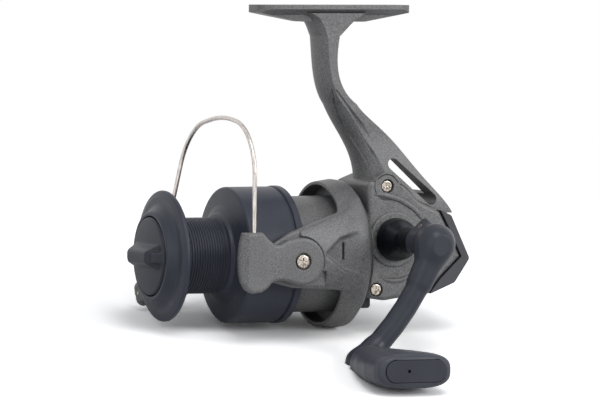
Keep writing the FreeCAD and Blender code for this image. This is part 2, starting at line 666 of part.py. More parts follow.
def oscillation():
    """Small gear on the axle, and the crank gear that it turns."""
    osc_x, osc_z = osc_centre()
    m = osc_module()
    thick = m * pi / 2 * 0.86
    toward = degrees_of(atan2(osc_z - AXLE_Z, osc_x - AXLE_X))
    small = spur_outline(OSC_DRIVER_TEETH, m * OSC_DRIVER_TEETH / 2, 0.8 * m, 1.1 * m, thick,
                         lambda u, v: V(AXLE_X + u, OSC_PLANE, AXLE_Z + v), toward)
    driver = small.extrude(Y * OSC_THICK)
    driver = driver.fuse(rod((AXLE_X, OSC_PLANE, AXLE_Z), (0, 1, 0), OSC_THICK + 1.2, 4.0))
    driver = driver.cut(rod((AXLE_X, -30, AXLE_Z), (0, 1, 0), 60, AXLE_R))
    add("oscillation_drive_gear", driver)
    step = 180.0 / OSC_GEAR_TEETH
    large = spur_outline(OSC_GEAR_TEETH, m * OSC_GEAR_TEETH / 2, 0.8 * m, 1.1 * m, thick,
                         lambda u, v: V(osc_x + u, OSC_PLANE, osc_z + v), toward + 180 + step)
    gear = large.extrude(Y * OSC_THICK)
    gear = gear.cut(rod((osc_x, -30, osc_z), (0, 1, 0), 60, 2.0 + RUN))
    pin = rod((SLIDER_X, OSC_PLANE + OSC_THICK - 0.5, 0), (0, 1, 0),
              SLIDER_FACE - FREE - OSC_PLANE - OSC_THICK + 0.5, CRANK_PIN_R)
    add("oscillation_gear", union(gear, pin))
    add("oscillation_axle", rod((osc_x, BODY_FAR + 0.8, osc_z), (0, 1, 0),
                                OSC_PLANE + OSC_THICK + 0.2 - BODY_FAR - 0.8, 2.0)
        .fuse(rod((osc_x, OSC_PLANE + OSC_THICK + 0.1, osc_z), (0, 1, 0), 0.5, 2.7)))


def oscillation_slider():
    """Slider on the rear of the shaft, with the crank slot in its far face."""
    low, high = -STROKE / 2 - 2.0, GUIDE_Z + 1.7
    body = block(SLIDER_X - SLIDER_HALF, SLIDER_X + SLIDER_HALF, SLIDER_FACE, SLIDER_BACK, low, high)
    slot_half = STROKE / 2
    slot = block(SLIDER_X - CRANK_PIN_R - 0.1, SLIDER_X + CRANK_PIN_R + 0.1, SLIDER_FACE - 1,
                 SLIDER_FACE + 2.2, -slot_half, slot_half)
    ends = [rod((SLIDER_X, SLIDER_FACE - 1, z), (0, 1, 0), 3.2, CRANK_PIN_R + 0.1)
            for z in (-slot_half, slot_half)]
    guide = rod((SLIDER_X - 10, 0, GUIDE_Z), (1, 0, 0), 20, GUIDE_R + RUN)
    seat = rod((SLIDER_X - 10, 0, 0), (1, 0, 0), 20, SHAFT_R)
    return body.cut([slot.fuse(ends), guide, seat])


def drive_axle():
    """Steel axle from the far bush to the handle."""
    return rod((AXLE_X, BODY_FAR - 2.0, AXLE_Z), (0, 1, 0), COLLAR_BASE + 8.0 - BODY_FAR + 2.0, AXLE_R)


def main_shaft():
    """Shaft through the pinion, from the slider to the drag knob."""
    rear = SLIDER_X - SLIDER_HALF
    return rod((rear, 0, 0), (1, 0, 0), SHAFT_FRONT - rear, SHAFT_R)


def gear_train():
    """All pieces that carry the drive from the handle to the rotor and spool."""
    add("drive_gear", drive_gear())
    add("drive_axle", drive_axle())
    oscillation()
    add("oscillation_slider", oscillation_slider())
    add("main_shaft", main_shaft())
    add("pinion_gear", pinion_gear())
    add("pinion_bearing", bearing((BEARING_X, 0, 0), (1, 0, 0), BEARING_W, BEARING_R, PINION_R))
    add("handle_side_bearing", bearing((AXLE_X, SPLIT - 2.0, AXLE_Z), (0, 1, 0),
                                       HANDLE_BEARING_W, HANDLE_BEARING_R, AXLE_R))
    add("far_side_bush", tube((AXLE_X, BODY_FAR - 2.0, AXLE_Z), (0, 1, 0), 3.8,
                              HANDLE_BEARING_R, AXLE_R + RUN))
    cap = turned_y([(BODY_FAR - 2.4, 0, 0), (BODY_FAR - 2.4, HANDLE_BEARING_R, 0),
                    (BODY_FAR - 3.0, HANDLE_BEARING_R, 0), (BODY_FAR - 3.0, 8.6, 0),
                    (BODY_FAR - 5.2, 7.8, 1.0), (BODY_FAR - 5.2, 0, 0)], AXLE_X, AXLE_Z)
    cap = cap.cut(block(AXLE_X - 6, AXLE_X + 6, BODY_FAR - 6, BODY_FAR - 4.4, AXLE_Z - 0.7, AXLE_Z + 0.7))
    add("far_side_cap", cap)


# =====================================================================
# One-way clutch and its lever
# =====================================================================
def one_way_clutch():
    """Housing on the nose, cage and rollers, and the sleeve on the pinion."""
    bore = ROLLER_PITCH_R + ROLLER_R + RUN
    housing = turned_x([(NOSE_FRONT + 0.6, bore, 0), (NOSE_FRONT + 0.6, 5.6, 0), (NOSE_FRONT, 5.6, 0),
                        (NOSE_FRONT, CLUTCH_FLANGE_R, 0), (NOSE_FRONT + 2, CLUTCH_FLANGE_R, 0.5),
                        (NOSE_FRONT + 2, CLUTCH_R, 0), (CLUTCH_FRONT, CLUTCH_R, 0.8), (CLUTCH_FRONT, bore, 0)])
    plug = tube((BEARING_X + BEARING_W, 0, 0), (1, 0, 0), NOSE_FRONT - BEARING_X - BEARING_W,
                BEARING_R - 0.02, 5.6)
    holes = [rod((0, y, z), (1, 0, 0), 20, 1.15) for y, z in clutch_screw_places()]
    holes.append(rod((0, 0, LEVER_Z), (1, 0, 0), 20, LEVER_ROD_R + RUN))
    add("clutch_housing", housing.fuse(plug).cut(holes))
    add("clutch_screws", Part.makeCompound([
        pan_screw((NOSE_FRONT + 2, y, z), (-1, 0, 0), 1.3, 0.9, 0.85, 6.5)
        for y, z in clutch_screw_places()]))
    ring = tube((NOSE_FRONT + 0.9, 0, 0), (1, 0, 0), CLUTCH_FRONT - NOSE_FRONT - 0.7,
                ROLLER_PITCH_R + 0.75, SLEEVE_R + 0.25)
    plate = tube((CLUTCH_FRONT + 0.2, 0, 0), (1, 0, 0), 0.8, 8.8, SLEEVE_R + 0.25)
    arm = block(CLUTCH_FRONT + 0.2, CLUTCH_FRONT + 1.0, -2.2, 2.2, LEVER_Z + 0.2, -7.5)
    notch = block(CLUTCH_FRONT, CLUTCH_FRONT + 1.2, -0.75, 0.75, LEVER_Z - 1,
                  LEVER_Z + FINGER_OFFSET + 0.8)
    pockets, rollers = [], []
    for i in range(ROLLERS):
        a = radians(22.5 + i * 360.0 / ROLLERS)
        y, z = ROLLER_PITCH_R * cos(a), ROLLER_PITCH_R * sin(a)
        pockets.append(rod((NOSE_FRONT + 1.2, y, z), (1, 0, 0), 5.8, ROLLER_R + 0.12))
        rollers.append(rod((NOSE_FRONT + 1.4, y, z), (1, 0, 0), 5.4, ROLLER_R))
    add("clutch_cage", ring.fuse([plate, arm]).cut(pockets + [notch]))
    add("clutch_rollers", Part.makeCompound(rollers))
    add("clutch_sleeve", tube((BEARING_X + BEARING_W + 0.1, 0, 0), (1, 0, 0),
                              CLUTCH_FRONT + 1.4 - BEARING_X - BEARING_W, SLEEVE_R, PINION_R))


def anti_reverse_lever():
    """Thumb lever under the body, on a rod that turns the clutch cage."""
    front = CLUTCH_FRONT + 0.1
    shaft = rod((LEVER_X - 4.5, 0, LEVER_Z), (1, 0, 0), front - LEVER_X + 4.5, LEVER_ROD_R)
    finger = rod((front - 0.8, 0, LEVER_Z + FINGER_OFFSET), (1, 0, 0), 1.9, 0.55)
    crank = block(front - 0.8, front, -0.6, 0.6, LEVER_Z, LEVER_Z + FINGER_OFFSET)
    collar = rod((LEVER_X - 2.2, 0, LEVER_Z), (1, 0, 0), 4.4, 2.6)
    tab = side_prism([(LEVER_X + 2.2, LEVER_Z, 0), (LEVER_X + 2.2, LEVER_TIP_Z, 1.2),
                      (LEVER_X - 2.2, LEVER_TIP_Z, 1.2), (LEVER_X - 2.2, LEVER_Z, 0)], -1.1, 1.1)
    return union(shaft, finger, crank, collar, tab)


# =====================================================================
# Rotor
# =====================================================================
def arm_shell(sign):
    """One rotor arm: a side outline cut from a slightly flared tube wall."""
    tip_x = PIVOT_X + EYE_R + 1
    outline = [(ARM_REAR, 20.0, 0), (ARM_REAR, -13.4, 0), (2.5, -11.4, 8.0), (25.0, -10.0, 6.0),
               (tip_x, -8.4, 3.0), (tip_x, 5.4, 3.0), (26.0, 8.8, 5.0), (14.0, 12.6, 12.0),
               (3.0, 16.2, 8.0)]
    y0, y1 = sorted((sign * 12.0, sign * 36.0))
    flat = side_prism(outline, y0, y1)
    wall = turned_x([(ARM_REAR, ARM_INNER_R, 0), (ARM_REAR, RING_CREST_R - 0.1, 0),
                     (5.0, ARM_ROOT_R + 0.3, 14.0), (tip_x, ARM_TIP_R, 0), (tip_x, ARM_INNER_R, 0)])
    root = tube((ARM_REAR, 0, 0), (1, 0, 0), 4.7, RING_CREST_R - 0.1, RING_LIP_R - 1.0)
    arm = flat.common(wall.fuse(root))
    seat_y = sorted((sign * HUB_SEAT, sign * 40.0))
    seat = rod((PIVOT_X, seat_y[0], PIVOT_Z), (0, 1, 0), seat_y[1] - seat_y[0], HUB_R + FREE)
    neck = block(PIVOT_X, PIVOT_X + 20, seat_y[0], seat_y[1], PIVOT_Z - 12, PIVOT_Z + 12)
    swing = block(PIVOT_X - HUB_R - 1.4, PIVOT_X + 20, seat_y[0], seat_y[1], PIVOT_Z - 20, PIVOT_Z - 3.6)
    arm = arm.cut([seat, neck, swing])
    window = side_prism([(13.4, 1.3, 1.2), (5.6, -4.0, 6.0), (ARM_REAR + 0.6, -5.6, 0.8),
                         (ARM_REAR + 0.6, 8.4, 0.8), (8.2, 6.6, 4.0)],
                        *sorted((sign * 27.2, sign * 36.0)))
    vent = block(5.2, 6.2, min(0, sign * 40), max(0, sign * 40), -1.0, 5.4)
    return arm.cut([window, vent])


def rotor():
    """Cup, flared rear ring and two arms."""
    cup = turned_x([(RING_REAR, RING_REAR_R - RING_WALL, 0), (RING_REAR, RING_REAR_R, 0),
                    (RING_CREST - 2.0, RING_CREST_R - 0.1, 2.5), (RING_LIP, RING_LIP_R, 0),
                    (RING_LIP, RING_LIP_R - RING_WALL, 0), (-1.6, RING_LIP_R - RING_WALL + 0.3, 0),
                    (-1.6, CUP_R, 0), (CUP_FRONT, CUP_R, 1.5), (CUP_FRONT, 1.0, 0),
                    (CUP_FRONT - CUP_WEB, 1.0, 0), (CUP_FRONT - CUP_WEB, CUP_R - CUP_WALL, 1.0),
                    (NOSE_STEP + 0.9, CUP_R - CUP_WALL, 0),
                    (NOSE_STEP + 0.9, RING_CREST_R - RING_WALL - 0.6, 1.0)])
    solid = cup.fuse([arm_shell(-1), arm_shell(1)])
    bore = double_d(ROTOR_SEAT - 1, CUP_FRONT + 1, PINION_R, 2.8)
    cuts = [bore]
    for sign in (-1, 1):
        cuts.append(rod((PIVOT_X, sign * 15.0, PIVOT_Z), (0, sign, 0), 20, 1.2))
    cuts.append(tube((PIVOT_X, 25.5, PIVOT_Z), (0, 1, 0), 5, BAIL_SPRING_R + 0.6, BAIL_SPRING_R - 0.6))
    return solid.cut(cuts)


def rotor_fixings():
    """Nut, washer and the two bail pivot screws."""
    washer = tube((CUP_FRONT, 0, 0), (1, 0, 0), 0.6, 6.0, PINION_R + 0.1)
    add("rotor_washer", washer)
    corners = [polar(6.0, 30 + 60 * k, lambda u, v: V(CUP_FRONT + 0.6, u, v)) for k in range(6)]
    nut = Part.Face(Part.makePolygon(corners + corners[:1])).extrude(X * 3.4)
    add("rotor_nut", nut.cut(rod((0, 0, 0), (1, 0, 0), 60, 2.75)))
    screws = [pan_screw((PIVOT_X, sign * (HUB_OUT - 1.3), PIVOT_Z), (0, -sign, 0), 2.4, 1.2, 1.2, 5.4)
              for sign in (-1, 1)]
    add("bail_pivot_screws", Part.makeCompound(screws))
    add("bail_spring", coil((PIVOT_X, 25.9, PIVOT_Z), Y, BAIL_SPRING_R, 0.3, 3, 0.55))


# =====================================================================
# Bail
# =====================================================================
def near_bail_arm():
    """Fan-shaped bail lever on the handle side."""
    z = PIVOT_Z
    outline = [(PIVOT_X, z + HUB_R - 0.6, 0), (30.6, z + 6.2, 4.0), (33.6, z + 5.8, 4.0),
               (36.2, z + 7.4, 3.0), (38.2, z + 10.6, 1.2), (45.0, z + 10.4, 1.2), (46.8, z + 5.6, 6.0),
               (47.6, z + 0.2, 10.0), (47.0, z - 5.6, 10.0), (44.8, z - 9.8, 5.0),
               (41.4, z - 11.6, 3.0), (37.4, z - 10.6, 3.5), (34.6, z - 7.4, 3.0), (32.2, z - 6.8, 3.0),
               (PIVOT_X, z - HUB_R + 0.6, 0)]
    plate = side_prism(outline, HUB_SEAT + SHIM, HUB_OUT + 0.4)
    hub = rod((PIVOT_X, HUB_SEAT + SHIM, z), (0, 1, 0), HUB_OUT - HUB_SEAT - SHIM, HUB_R)
    bevel = Part.Face(Part.makePolygon([V(44.6, HUB_OUT + 1, -30), V(50, HUB_OUT + 1, -30),
                                        V(50, HUB_OUT - 3.6, -30), V(44.6, HUB_OUT + 1, -30)]))
    plate = plate.cut(bevel.extrude(Z * 60))
    slope = Part.Face(Part.makePolygon([V(PIVOT_X - 10, HUB_OUT, -30), V(PIVOT_X - 10, HUB_OUT + 3, -30),
                                        V(38, HUB_OUT + 3, -30), V(36, HUB_OUT + 0.4, -30),
                                        V(30, HUB_OUT, -30), V(PIVOT_X - 10, HUB_OUT, -30)]))
    plate = plate.cut(slope.extrude(Z * 60))
    solid = union(plate, hub)
    wire_hole = rod((FAN_X, FAN_Y, 3.0), (0, 0, 1), 12, WIRE_R)
    screw = rod((PIVOT_X, 0, z), (0, 1, 0), 60, 1.2 + RUN)
    recess = rod((PIVOT_X, HUB_OUT - 1.3, z), (0, 1, 0), 5, 3.0)
    return solid.cut([wire_hole, screw, recess])



def roller_bail_arm():
    """Bail lever on the far side, which carries the line roller."""
    z = PIVOT_Z
    y0, y1 = -HUB_OUT, -HUB_SEAT - SHIM
    hub = rod((PIVOT_X, y0, z), (0, 1, 0), y1 - y0, HUB_R)
    outline = [(PIVOT_X, z + HUB_R - 0.4, 0), (30.0, z + 5.0, 6.0), (ROLLER_ARM_X - 3.0, ROLLER_ARM_Z + 3.8, 2.0),
               (ROLLER_ARM_X, ROLLER_ARM_Z + 3.4, 1.2), (ROLLER_ARM_X, ROLLER_ARM_Z - 3.4, 1.2),
               (ROLLER_ARM_X - 4.0, ROLLER_ARM_Z - 3.4, 2.0), (30.0, z - 7.2, 6.0),
               (PIVOT_X, z - HUB_R + 0.4, 0)]
    plate = side_prism(outline, y0, y1)
    lug = rod((ROLLER_ARM_X - 4.0, ROLLER_ARM_Y, ROLLER_ARM_Z), (1, 0, 0), 4.0, 3.4)
    solid = union(hub, plate, lug)
    screw = rod((PIVOT_X, -60, z), (0, 1, 0), 60, 1.2 + RUN)
    recess = rod((PIVOT_X, -HUB_OUT + 1.3 - 5, z), (0, 1, 0), 5, 3.0)
    roller_screw = rod((ROLLER_ARM_X - 8, ROLLER_ARM_Y, ROLLER_ARM_Z), (1, 0, 0), 20, ROLLER_SCREW_R)
    return solid.cut([screw, recess, roller_screw])


def wire_path():
    """Bail wire route: corner points, each with its bend radius."""
    return [((FAN_X, FAN_Y, 3.6), 0), ((FAN_X, FAN_Y + 0.4, 45.2), 19.0), ((FAN_X + 0.2, 2.0, 49.2), 64.0),
            ((42.2, -27.2, 44.0), 18.0), ((47.5, -29.8, 15.0), 60.0),
            ((wire_cap_x() + 2.6, ROLLER_ARM_Y - 0.3, ROLLER_ARM_Z + 2.0), 0)]


def wire_cap_x():
    """Rear face of the cap that ends the wire, in front of the line roller."""
    return ROLLER_ARM_X + ROLLER_LINE_W + 2 * SHIM


def round_wire(path, radius):
    """Sweep a round section along straight runs joined by tangent arcs."""
    places = [V(*p) for p, _ in path]
    edges, last = [], places[0]
    for i in range(1, len(path) - 1):
        here, bend = places[i], path[i][1]
        back = places[i - 1] - here
        ahead = places[i + 1] - here
        back.normalize()
        ahead.normalize()
        half = back.getAngle(ahead) / 2
        reach = bend / tan(half)
        middle = back + ahead
        middle.normalize()
        start, end = here + back * reach, here + ahead * reach
        edges.append(Part.LineSegment(last, start).toShape())
        edges.append(Part.Arc(start, here + middle * (bend / sin(half) - bend), end).toShape())
        last = end
    edges.append(Part.LineSegment(last, places[-1]).toShape())
    route = Part.Wire(edges)
    first = places[1] - places[0]
    section = Part.Wire(Part.makeCircle(radius, places[0], first))
    return route.makePipeShell([section], True, False)


def bail():
    """The two bail levers, the wire and the line roller."""
    add("near_bail_arm", near_bail_arm())
    add("roller_bail_arm", roller_bail_arm())
    cap_x = wire_cap_x()
    cap = Part.makeCone(ROLLER_LINE_R, 2.7, WIRE_CAP, V(cap_x, ROLLER_ARM_Y, ROLLER_ARM_Z), X)
    cap = cap.makeFillet(0.9, [e for e in cap.Edges if abs(e.CenterOfMass.x - cap_x - WIRE_CAP) < 1e-4
                               and len(e.Vertexes) == 1])
    wire = round_wire(wire_path(), WIRE_R)
    add("bail_wire", wire)
    add("wire_cap", cap.cut([
        wire, rod((cap_x - 1, ROLLER_ARM_Y, ROLLER_ARM_Z), (1, 0, 0), 20, ROLLER_SCREW_R + RUN),
        rod((cap_x + WIRE_CAP - 1.3, ROLLER_ARM_Y, ROLLER_ARM_Z), (1, 0, 0), 20, 1.7)]))
    groove = turned_roller()
    add("line_roller", groove)
    bush = tube((ROLLER_ARM_X + 0.05, ROLLER_ARM_Y, ROLLER_ARM_Z), (1, 0, 0),
                ROLLER_LINE_W + 0.5, 1.6, ROLLER_SCREW_R + 0.02)
    add("line_roller_bush", bush)
    head_x = cap_x + WIRE_CAP - 1.3
    add("line_roller_screw", pan_screw((head_x, ROLLER_ARM_Y, ROLLER_ARM_Z), (-1, 0, 0),
                                       1.6, 1.0, ROLLER_SCREW_R, head_x - ROLLER_ARM_X + 3.4))


def turned_roller():
    """Line roller with a waisted track."""
    x0 = ROLLER_ARM_X + SHIM
    x1 = x0 + ROLLER_LINE_W
    wire = rounded_wire([(x0, 1.6 + RUN, 0), (x0, ROLLER_LINE_R, 0.4), (x0 + 1.2, ROLLER_LINE_R, 0.4),
                         (x0 + 2.0, 2.5, 0.4), (x1 - 1.6, 2.5, 0.4), (x1 - 0.8, ROLLER_LINE_R - 0.3, 0.2),
                         (x1, ROLLER_LINE_R - 0.3, 0.2), (x1, 1.6 + RUN, 0)],
                        lambda p: V(p.x, ROLLER_ARM_Y, ROLLER_ARM_Z + p.y))
    return Part.Face(wire).revolve(V(0, ROLLER_ARM_Y, ROLLER_ARM_Z), X, 360)


# =====================================================================
# Spool and drag
# =====================================================================
def arbor_profile():
    """Fine line-keeping rings round the arbor, from front to rear."""
    step = (ARBOR_FRONT - ARBOR_REAR - 1.0) / ARBOR_RINGS
    points = []
    for i in range(ARBOR_RINGS):
        x = ARBOR_FRONT - 0.5 - i * step
        points += [(x, ARBOR_R, 0), (x - step * 0.3, ARBOR_R - 0.35, 0), (x - step * 0.7, ARBOR_R - 0.35, 0)]
    return points


def spool():
    """Front flange, ringed arbor and long skirt."""
    inner_skirt = SKIRT_R - SKIRT_WALL
    hollow_r = ARBOR_R - ARBOR_WALL
    profile = [(SHAFT_HUB_REAR, SHAFT_R + RUN, 0), (SHAFT_HUB_REAR, 4.6, 0), (DRAG_FLOOR - 2.0, 4.6, 1.0),
               (DRAG_FLOOR - 2.0, hollow_r, 1.0), (SKIRT_FRONT - 2.0, hollow_r, 0),
               (SKIRT_FRONT - 2.0, inner_skirt, 1.5), (SKIRT_REAR, inner_skirt, 0),
               (SKIRT_REAR, SKIRT_R + 0.3, 0.5), (SKIRT_REAR + 1.6, SKIRT_R + 0.3, 0.3),
               (SKIRT_REAR + 2.0, SKIRT_R - 0.4, 0), (SKIRT_REAR + 2.8, SKIRT_R - 0.4, 0),
               (SKIRT_REAR + 3.0, SKIRT_R, 0), (SKIRT_FRONT, SKIRT_R, 1.8),
               (SKIRT_FRONT + 0.4, ARBOR_R + 3.4, 2.0), (SKIRT_FRONT + 1.0, ARBOR_R + 1.1, 0.5),
               (ARBOR_REAR, ARBOR_R + 1.1, 0.3), (ARBOR_REAR, ARBOR_R, 0)]
    profile += arbor_profile()[::-1]
    profile += [(ARBOR_FRONT, ARBOR_R, 0), (ARBOR_FRONT + 0.9, FLANGE_R - 0.6, 0.5),
                (ARBOR_FRONT + 1.2, FLANGE_R, 0.5), (FLANGE_FRONT, FLANGE_R, 1.2),
                (FLANGE_FRONT - 0.2, COLLAR_R + 2.2, 2.0), (COLLAR_FRONT, COLLAR_R, 1.0),
                (COLLAR_FRONT, KNOB_R + FREE, 0.4), (KNOB_POCKET - 0.3, KNOB_R + FREE, 0),
                (KNOB_POCKET - 0.3, hollow_r, 0), (DRAG_FLOOR, hollow_r, 0), (DRAG_FLOOR, SHAFT_R + RUN, 0)]
    return turned_x(profile)



def drag_stack():
    """Felt and metal drag washers, retaining ring and click ring."""
    felt, metal = [], []
    x = DRAG_FLOOR
    for _ in range(3):
        felt.append(tube((x, 0, 0), (1, 0, 0), 0.9, DRAG_WASHER_R, 3.0))
        metal.append(tube((x + 0.9, 0, 0), (1, 0, 0), 0.9, DRAG_WASHER_R - 0.1, SHAFT_R + RUN))
        x += 1.8
    add("drag_felt_washers", Part.makeCompound(felt))
    add("drag_metal_washers", Part.makeCompound(metal))
    ring = Part.makeTorus(DRAG_WASHER_R - 0.15, 0.45, V(x + 0.46, 0, 0), X)
    add("drag_retaining_ring", ring)
    return x + 1.0


def drag_knob(stack_end):
    """Drag knob with a wide grip fin, its nut and its spring."""
    rear = stack_end + 1.2
    hub_r = 8.6
    profile = [(rear, 5.2, 0), (rear, hub_r, 0.5), (KNOB_POCKET, hub_r, 0), (KNOB_POCKET, KNOB_R, 0),
               (KNOB_FACE, KNOB_R, 0.8), (KNOB_FACE, 0, 0), (KNOB_FACE - 1.6, 0, 0),
               (KNOB_FACE - 1.6, 5.2, 0)]
    knob = turned_x(profile)
    dish = turned_x([(KNOB_FACE - 0.8, 6.0, 0), (KNOB_FACE + 1, 6.0, 0), (KNOB_FACE + 1, 11.6, 0),
                     (KNOB_FACE - 0.8, 11.4, 0)])
    knob = knob.cut(dish)
    half = KNOB_R - 0.9
    plan = rounded_wire([(half, KNOB_FACE - 1.0, 0), (half - 1.2, KNOB_TIP - 2.0, 1.4),
                         (half - 4.6, KNOB_TIP, 2.0), (-half + 4.6, KNOB_TIP, 2.0),
                         (-half + 1.2, KNOB_TIP - 2.0, 1.4), (-half, KNOB_FACE - 1.0, 0)],
                        lambda p: V(p.y, p.x, -FIN_HALF))
    fin = Part.Face(plan).extrude(Z * 2 * FIN_HALF)
    wedge = rounded_wire([(KNOB_FACE - 2, FIN_HALF, 0), (KNOB_FACE + 2.6, FIN_HALF, 0.6),
                          (KNOB_TIP, 1.5, 0.7), (KNOB_TIP, -1.5, 0.7), (KNOB_FACE + 2.6, -FIN_HALF, 0.6),
                          (KNOB_FACE - 2, -FIN_HALF, 0)], lambda p: V(p.x, -30, p.y))
    fin = fin.common(Part.Face(wedge).extrude(Y * 60))
    add("drag_knob", union(knob, fin))
    corners = [polar(4.6, 30 + 60 * k, lambda u, v: V(rear + 2.4, u, v)) for k in range(6)]
    nut = Part.Face(Part.makePolygon(corners + corners[:1])).extrude(X * 2.6)
    add("drag_nut", nut.cut(rod((0, 0, 0), (1, 0, 0), 90, SHAFT_R + 0.02)))
    add("drag_spring", coil((stack_end + 0.5, 0, 0), X, 4.0, 0.3, 3, 0.8))


def spool_group():
    """Spool, its seat on the shaft, and the drag in front."""
    add("spool", spool())
    stack_end = drag_stack()
    drag_knob(stack_end)
    pin = rod((SHAFT_HUB_REAR - 1.4, -4.0, 0), (0, 1, 0), 8.0, 0.7)
    add("spool_seat_pin", pin.cut(rod((0, 0, 0), (1, 0, 0), 90, SHAFT_R)))
    add("spool_seat_washer", tube((SHAFT_HUB_REAR - 0.6, 0, 0), (1, 0, 0), 0.5, 4.6, SHAFT_R))


# =====================================================================
# Handle
# =====================================================================
def arm_direction():
    """Unit vector along the handle arm, away from the axle."""
    return V(cos(radians(ARM_DROP)), 0, sin(radians(ARM_DROP)))


def handle_collar():
    """Conical collar, ribbed neck and hinge tongue, on the drive axle."""
    body = turned_y([(COLLAR_BASE, 0, 0), (COLLAR_BASE, COLLAR_BASE_R, 0.6),
                     (COLLAR_BASE + 4.0, COLLAR_BASE_R - 0.7, 3.0), (NECK_START - 1.5, NECK_R + 0.3, 4.0),
                     (SHOULDER - SHIM, NECK_R, 0.4), (SHOULDER - SHIM, 0, 0)], AXLE_X, AXLE_Z)
    grooves = [tube((AXLE_X, NECK_START + 1.0 + 1.3 * k, AXLE_Z), (0, 1, 0), 0.5, NECK_R + 2, NECK_R - 0.35)
               for k in range(4)]
    body = body.cut(grooves)
    along = arm_direction()
    axis = along.cross(Y)
    hinge = V(AXLE_X, HINGE_Y, AXLE_Z) - along * HINGE_OFFSET
    half = TONGUE / 2
    disc = Part.makeCylinder(3.3, TONGUE, hinge - axis * half, axis)
    a = V(AXLE_X, SHOULDER - 1, AXLE_Z)
    corners = [a - along * 3.8, a + along * 3.4, V(AXLE_X, HINGE_Y + 2.0, AXLE_Z) - along * 1.0,
               V(AXLE_X, HINGE_Y, AXLE_Z) - along * 7.1]
    web = Part.Face(Part.makePolygon([c - axis * half for c in corners + corners[:1]])).extrude(axis * TONGUE)
    solid = body.fuse([disc, web])
    cuts = [rod((AXLE_X, COLLAR_BASE - 1, AXLE_Z), (0, 1, 0), 9.0, AXLE_R)]
    cuts.append(Part.makeCylinder(HINGE_PIN_R, 20, hinge - axis * 10, axis))
    return solid.cut(cuts)


def bent_rod(bend, first, last, radius):
    """A round rod along part of an arc."""
    piece = Part.Arc(bend.value(first), bend.value((first + last) / 2), bend.value(last))
    ring = Part.Wire(Part.makeCircle(radius, bend.value(first), bend.tangent(first)[0]))
    return Part.Wire(piece.toShape()).makePipeShell([ring], True, False)


def handle_arm():
    """Elbow with a forked end, and the round arm down to the knob."""
    along = arm_direction()
    axis = along.cross(Y)
    elbow = V(AXLE_X, ELBOW_Y, AXLE_Z)
    hinge = V(AXLE_X, HINGE_Y, AXLE_Z) - along * HINGE_OFFSET
    ball = Part.makeSphere(ELBOW_R, elbow)
    neck = Part.makeCylinder(5.3, ELBOW_Y - SHOULDER, V(AXLE_X, SHOULDER, AXLE_Z), Y)
    cheek = Part.makeCylinder(3.9, 9.6, hinge - axis * 4.8, axis)
    end = elbow + along * ARM_LENGTH
    bend = Part.Arc(elbow, elbow + along * (ARM_LENGTH / 2) - axis * ARM_BOW, end)
    first, last = bend.FirstParameter, bend.LastParameter
    start_way = bend.tangent(first)[0]
    socket = Part.makeCone(ELBOW_R - 0.9, ARM_R + 0.65, SOCKET_LENGTH, elbow, start_way)
    arm = bent_rod(bend, first, last, ARM_R)
    sleeve = bent_rod(bend, last - (last - first) * SLEEVE_LENGTH / ARM_LENGTH, last, ARM_R + 0.45)
    foot_ball = Part.makeSphere(ARM_R + 1.0, end)
    boss = Part.makeCylinder(ARM_R + 0.9, GRIP_BOSS, end, Y)
    solid = union(ball, neck, cheek, socket, arm, sleeve, foot_ball, boss)
    slot_half = TONGUE / 2 + 0.15
    fork = Part.makeCylinder(4.6, slot_half * 2, hinge - axis * slot_half, axis)
    near = V(AXLE_X, SHOULDER - 1, AXLE_Z)
    corners = [near - along * 12, near + along * 12, V(AXLE_X, HINGE_Y + 3.0, AXLE_Z) + along * 12,
               V(AXLE_X, HINGE_Y + 3.0, AXLE_Z) - along * 12]
    gap = Part.Face(Part.makePolygon([c - axis * slot_half for c in corners + corners[:1]]))
    gap = gap.extrude(axis * slot_half * 2)
    shoulder_r = 4.6
    trim = block(AXLE_X - 20, AXLE_X + 20, HINGE_Y - shoulder_r - 10, HINGE_Y - shoulder_r + 0.25,
                 AXLE_Z - 20, AXLE_Z + 20)
    cuts = [fork, gap, Part.makeCylinder(HINGE_PIN_R + RUN, 20, hinge - axis * 10, axis)]
    cuts.append(Part.makeCylinder(SPINDLE_R, 20, end - Y * 2.0, Y))
    return solid.cut(cuts + [trim.cut(Part.makeCylinder(30, 60, V(AXLE_X, -20, AXLE_Z + 60), Y))])


def grip_section(y, half_wide, half_thick, roundness):
    """Rounded slice across the grip."""
    centre = grip_centre()
    u, v = half_wide, half_thick
    r = min(u, v) * roundness
    return rounded_wire([(u, v, r), (-u, v, r), (-u, -v, r), (u, -v, r)],
                        lambda p: V(centre.x + p.x, y, centre.z + p.y))


def grip_centre():
    """Axis of the grip's spindle, at the elbow's plane."""
    return V(AXLE_X, ELBOW_Y, AXLE_Z) + arm_direction() * ARM_LENGTH


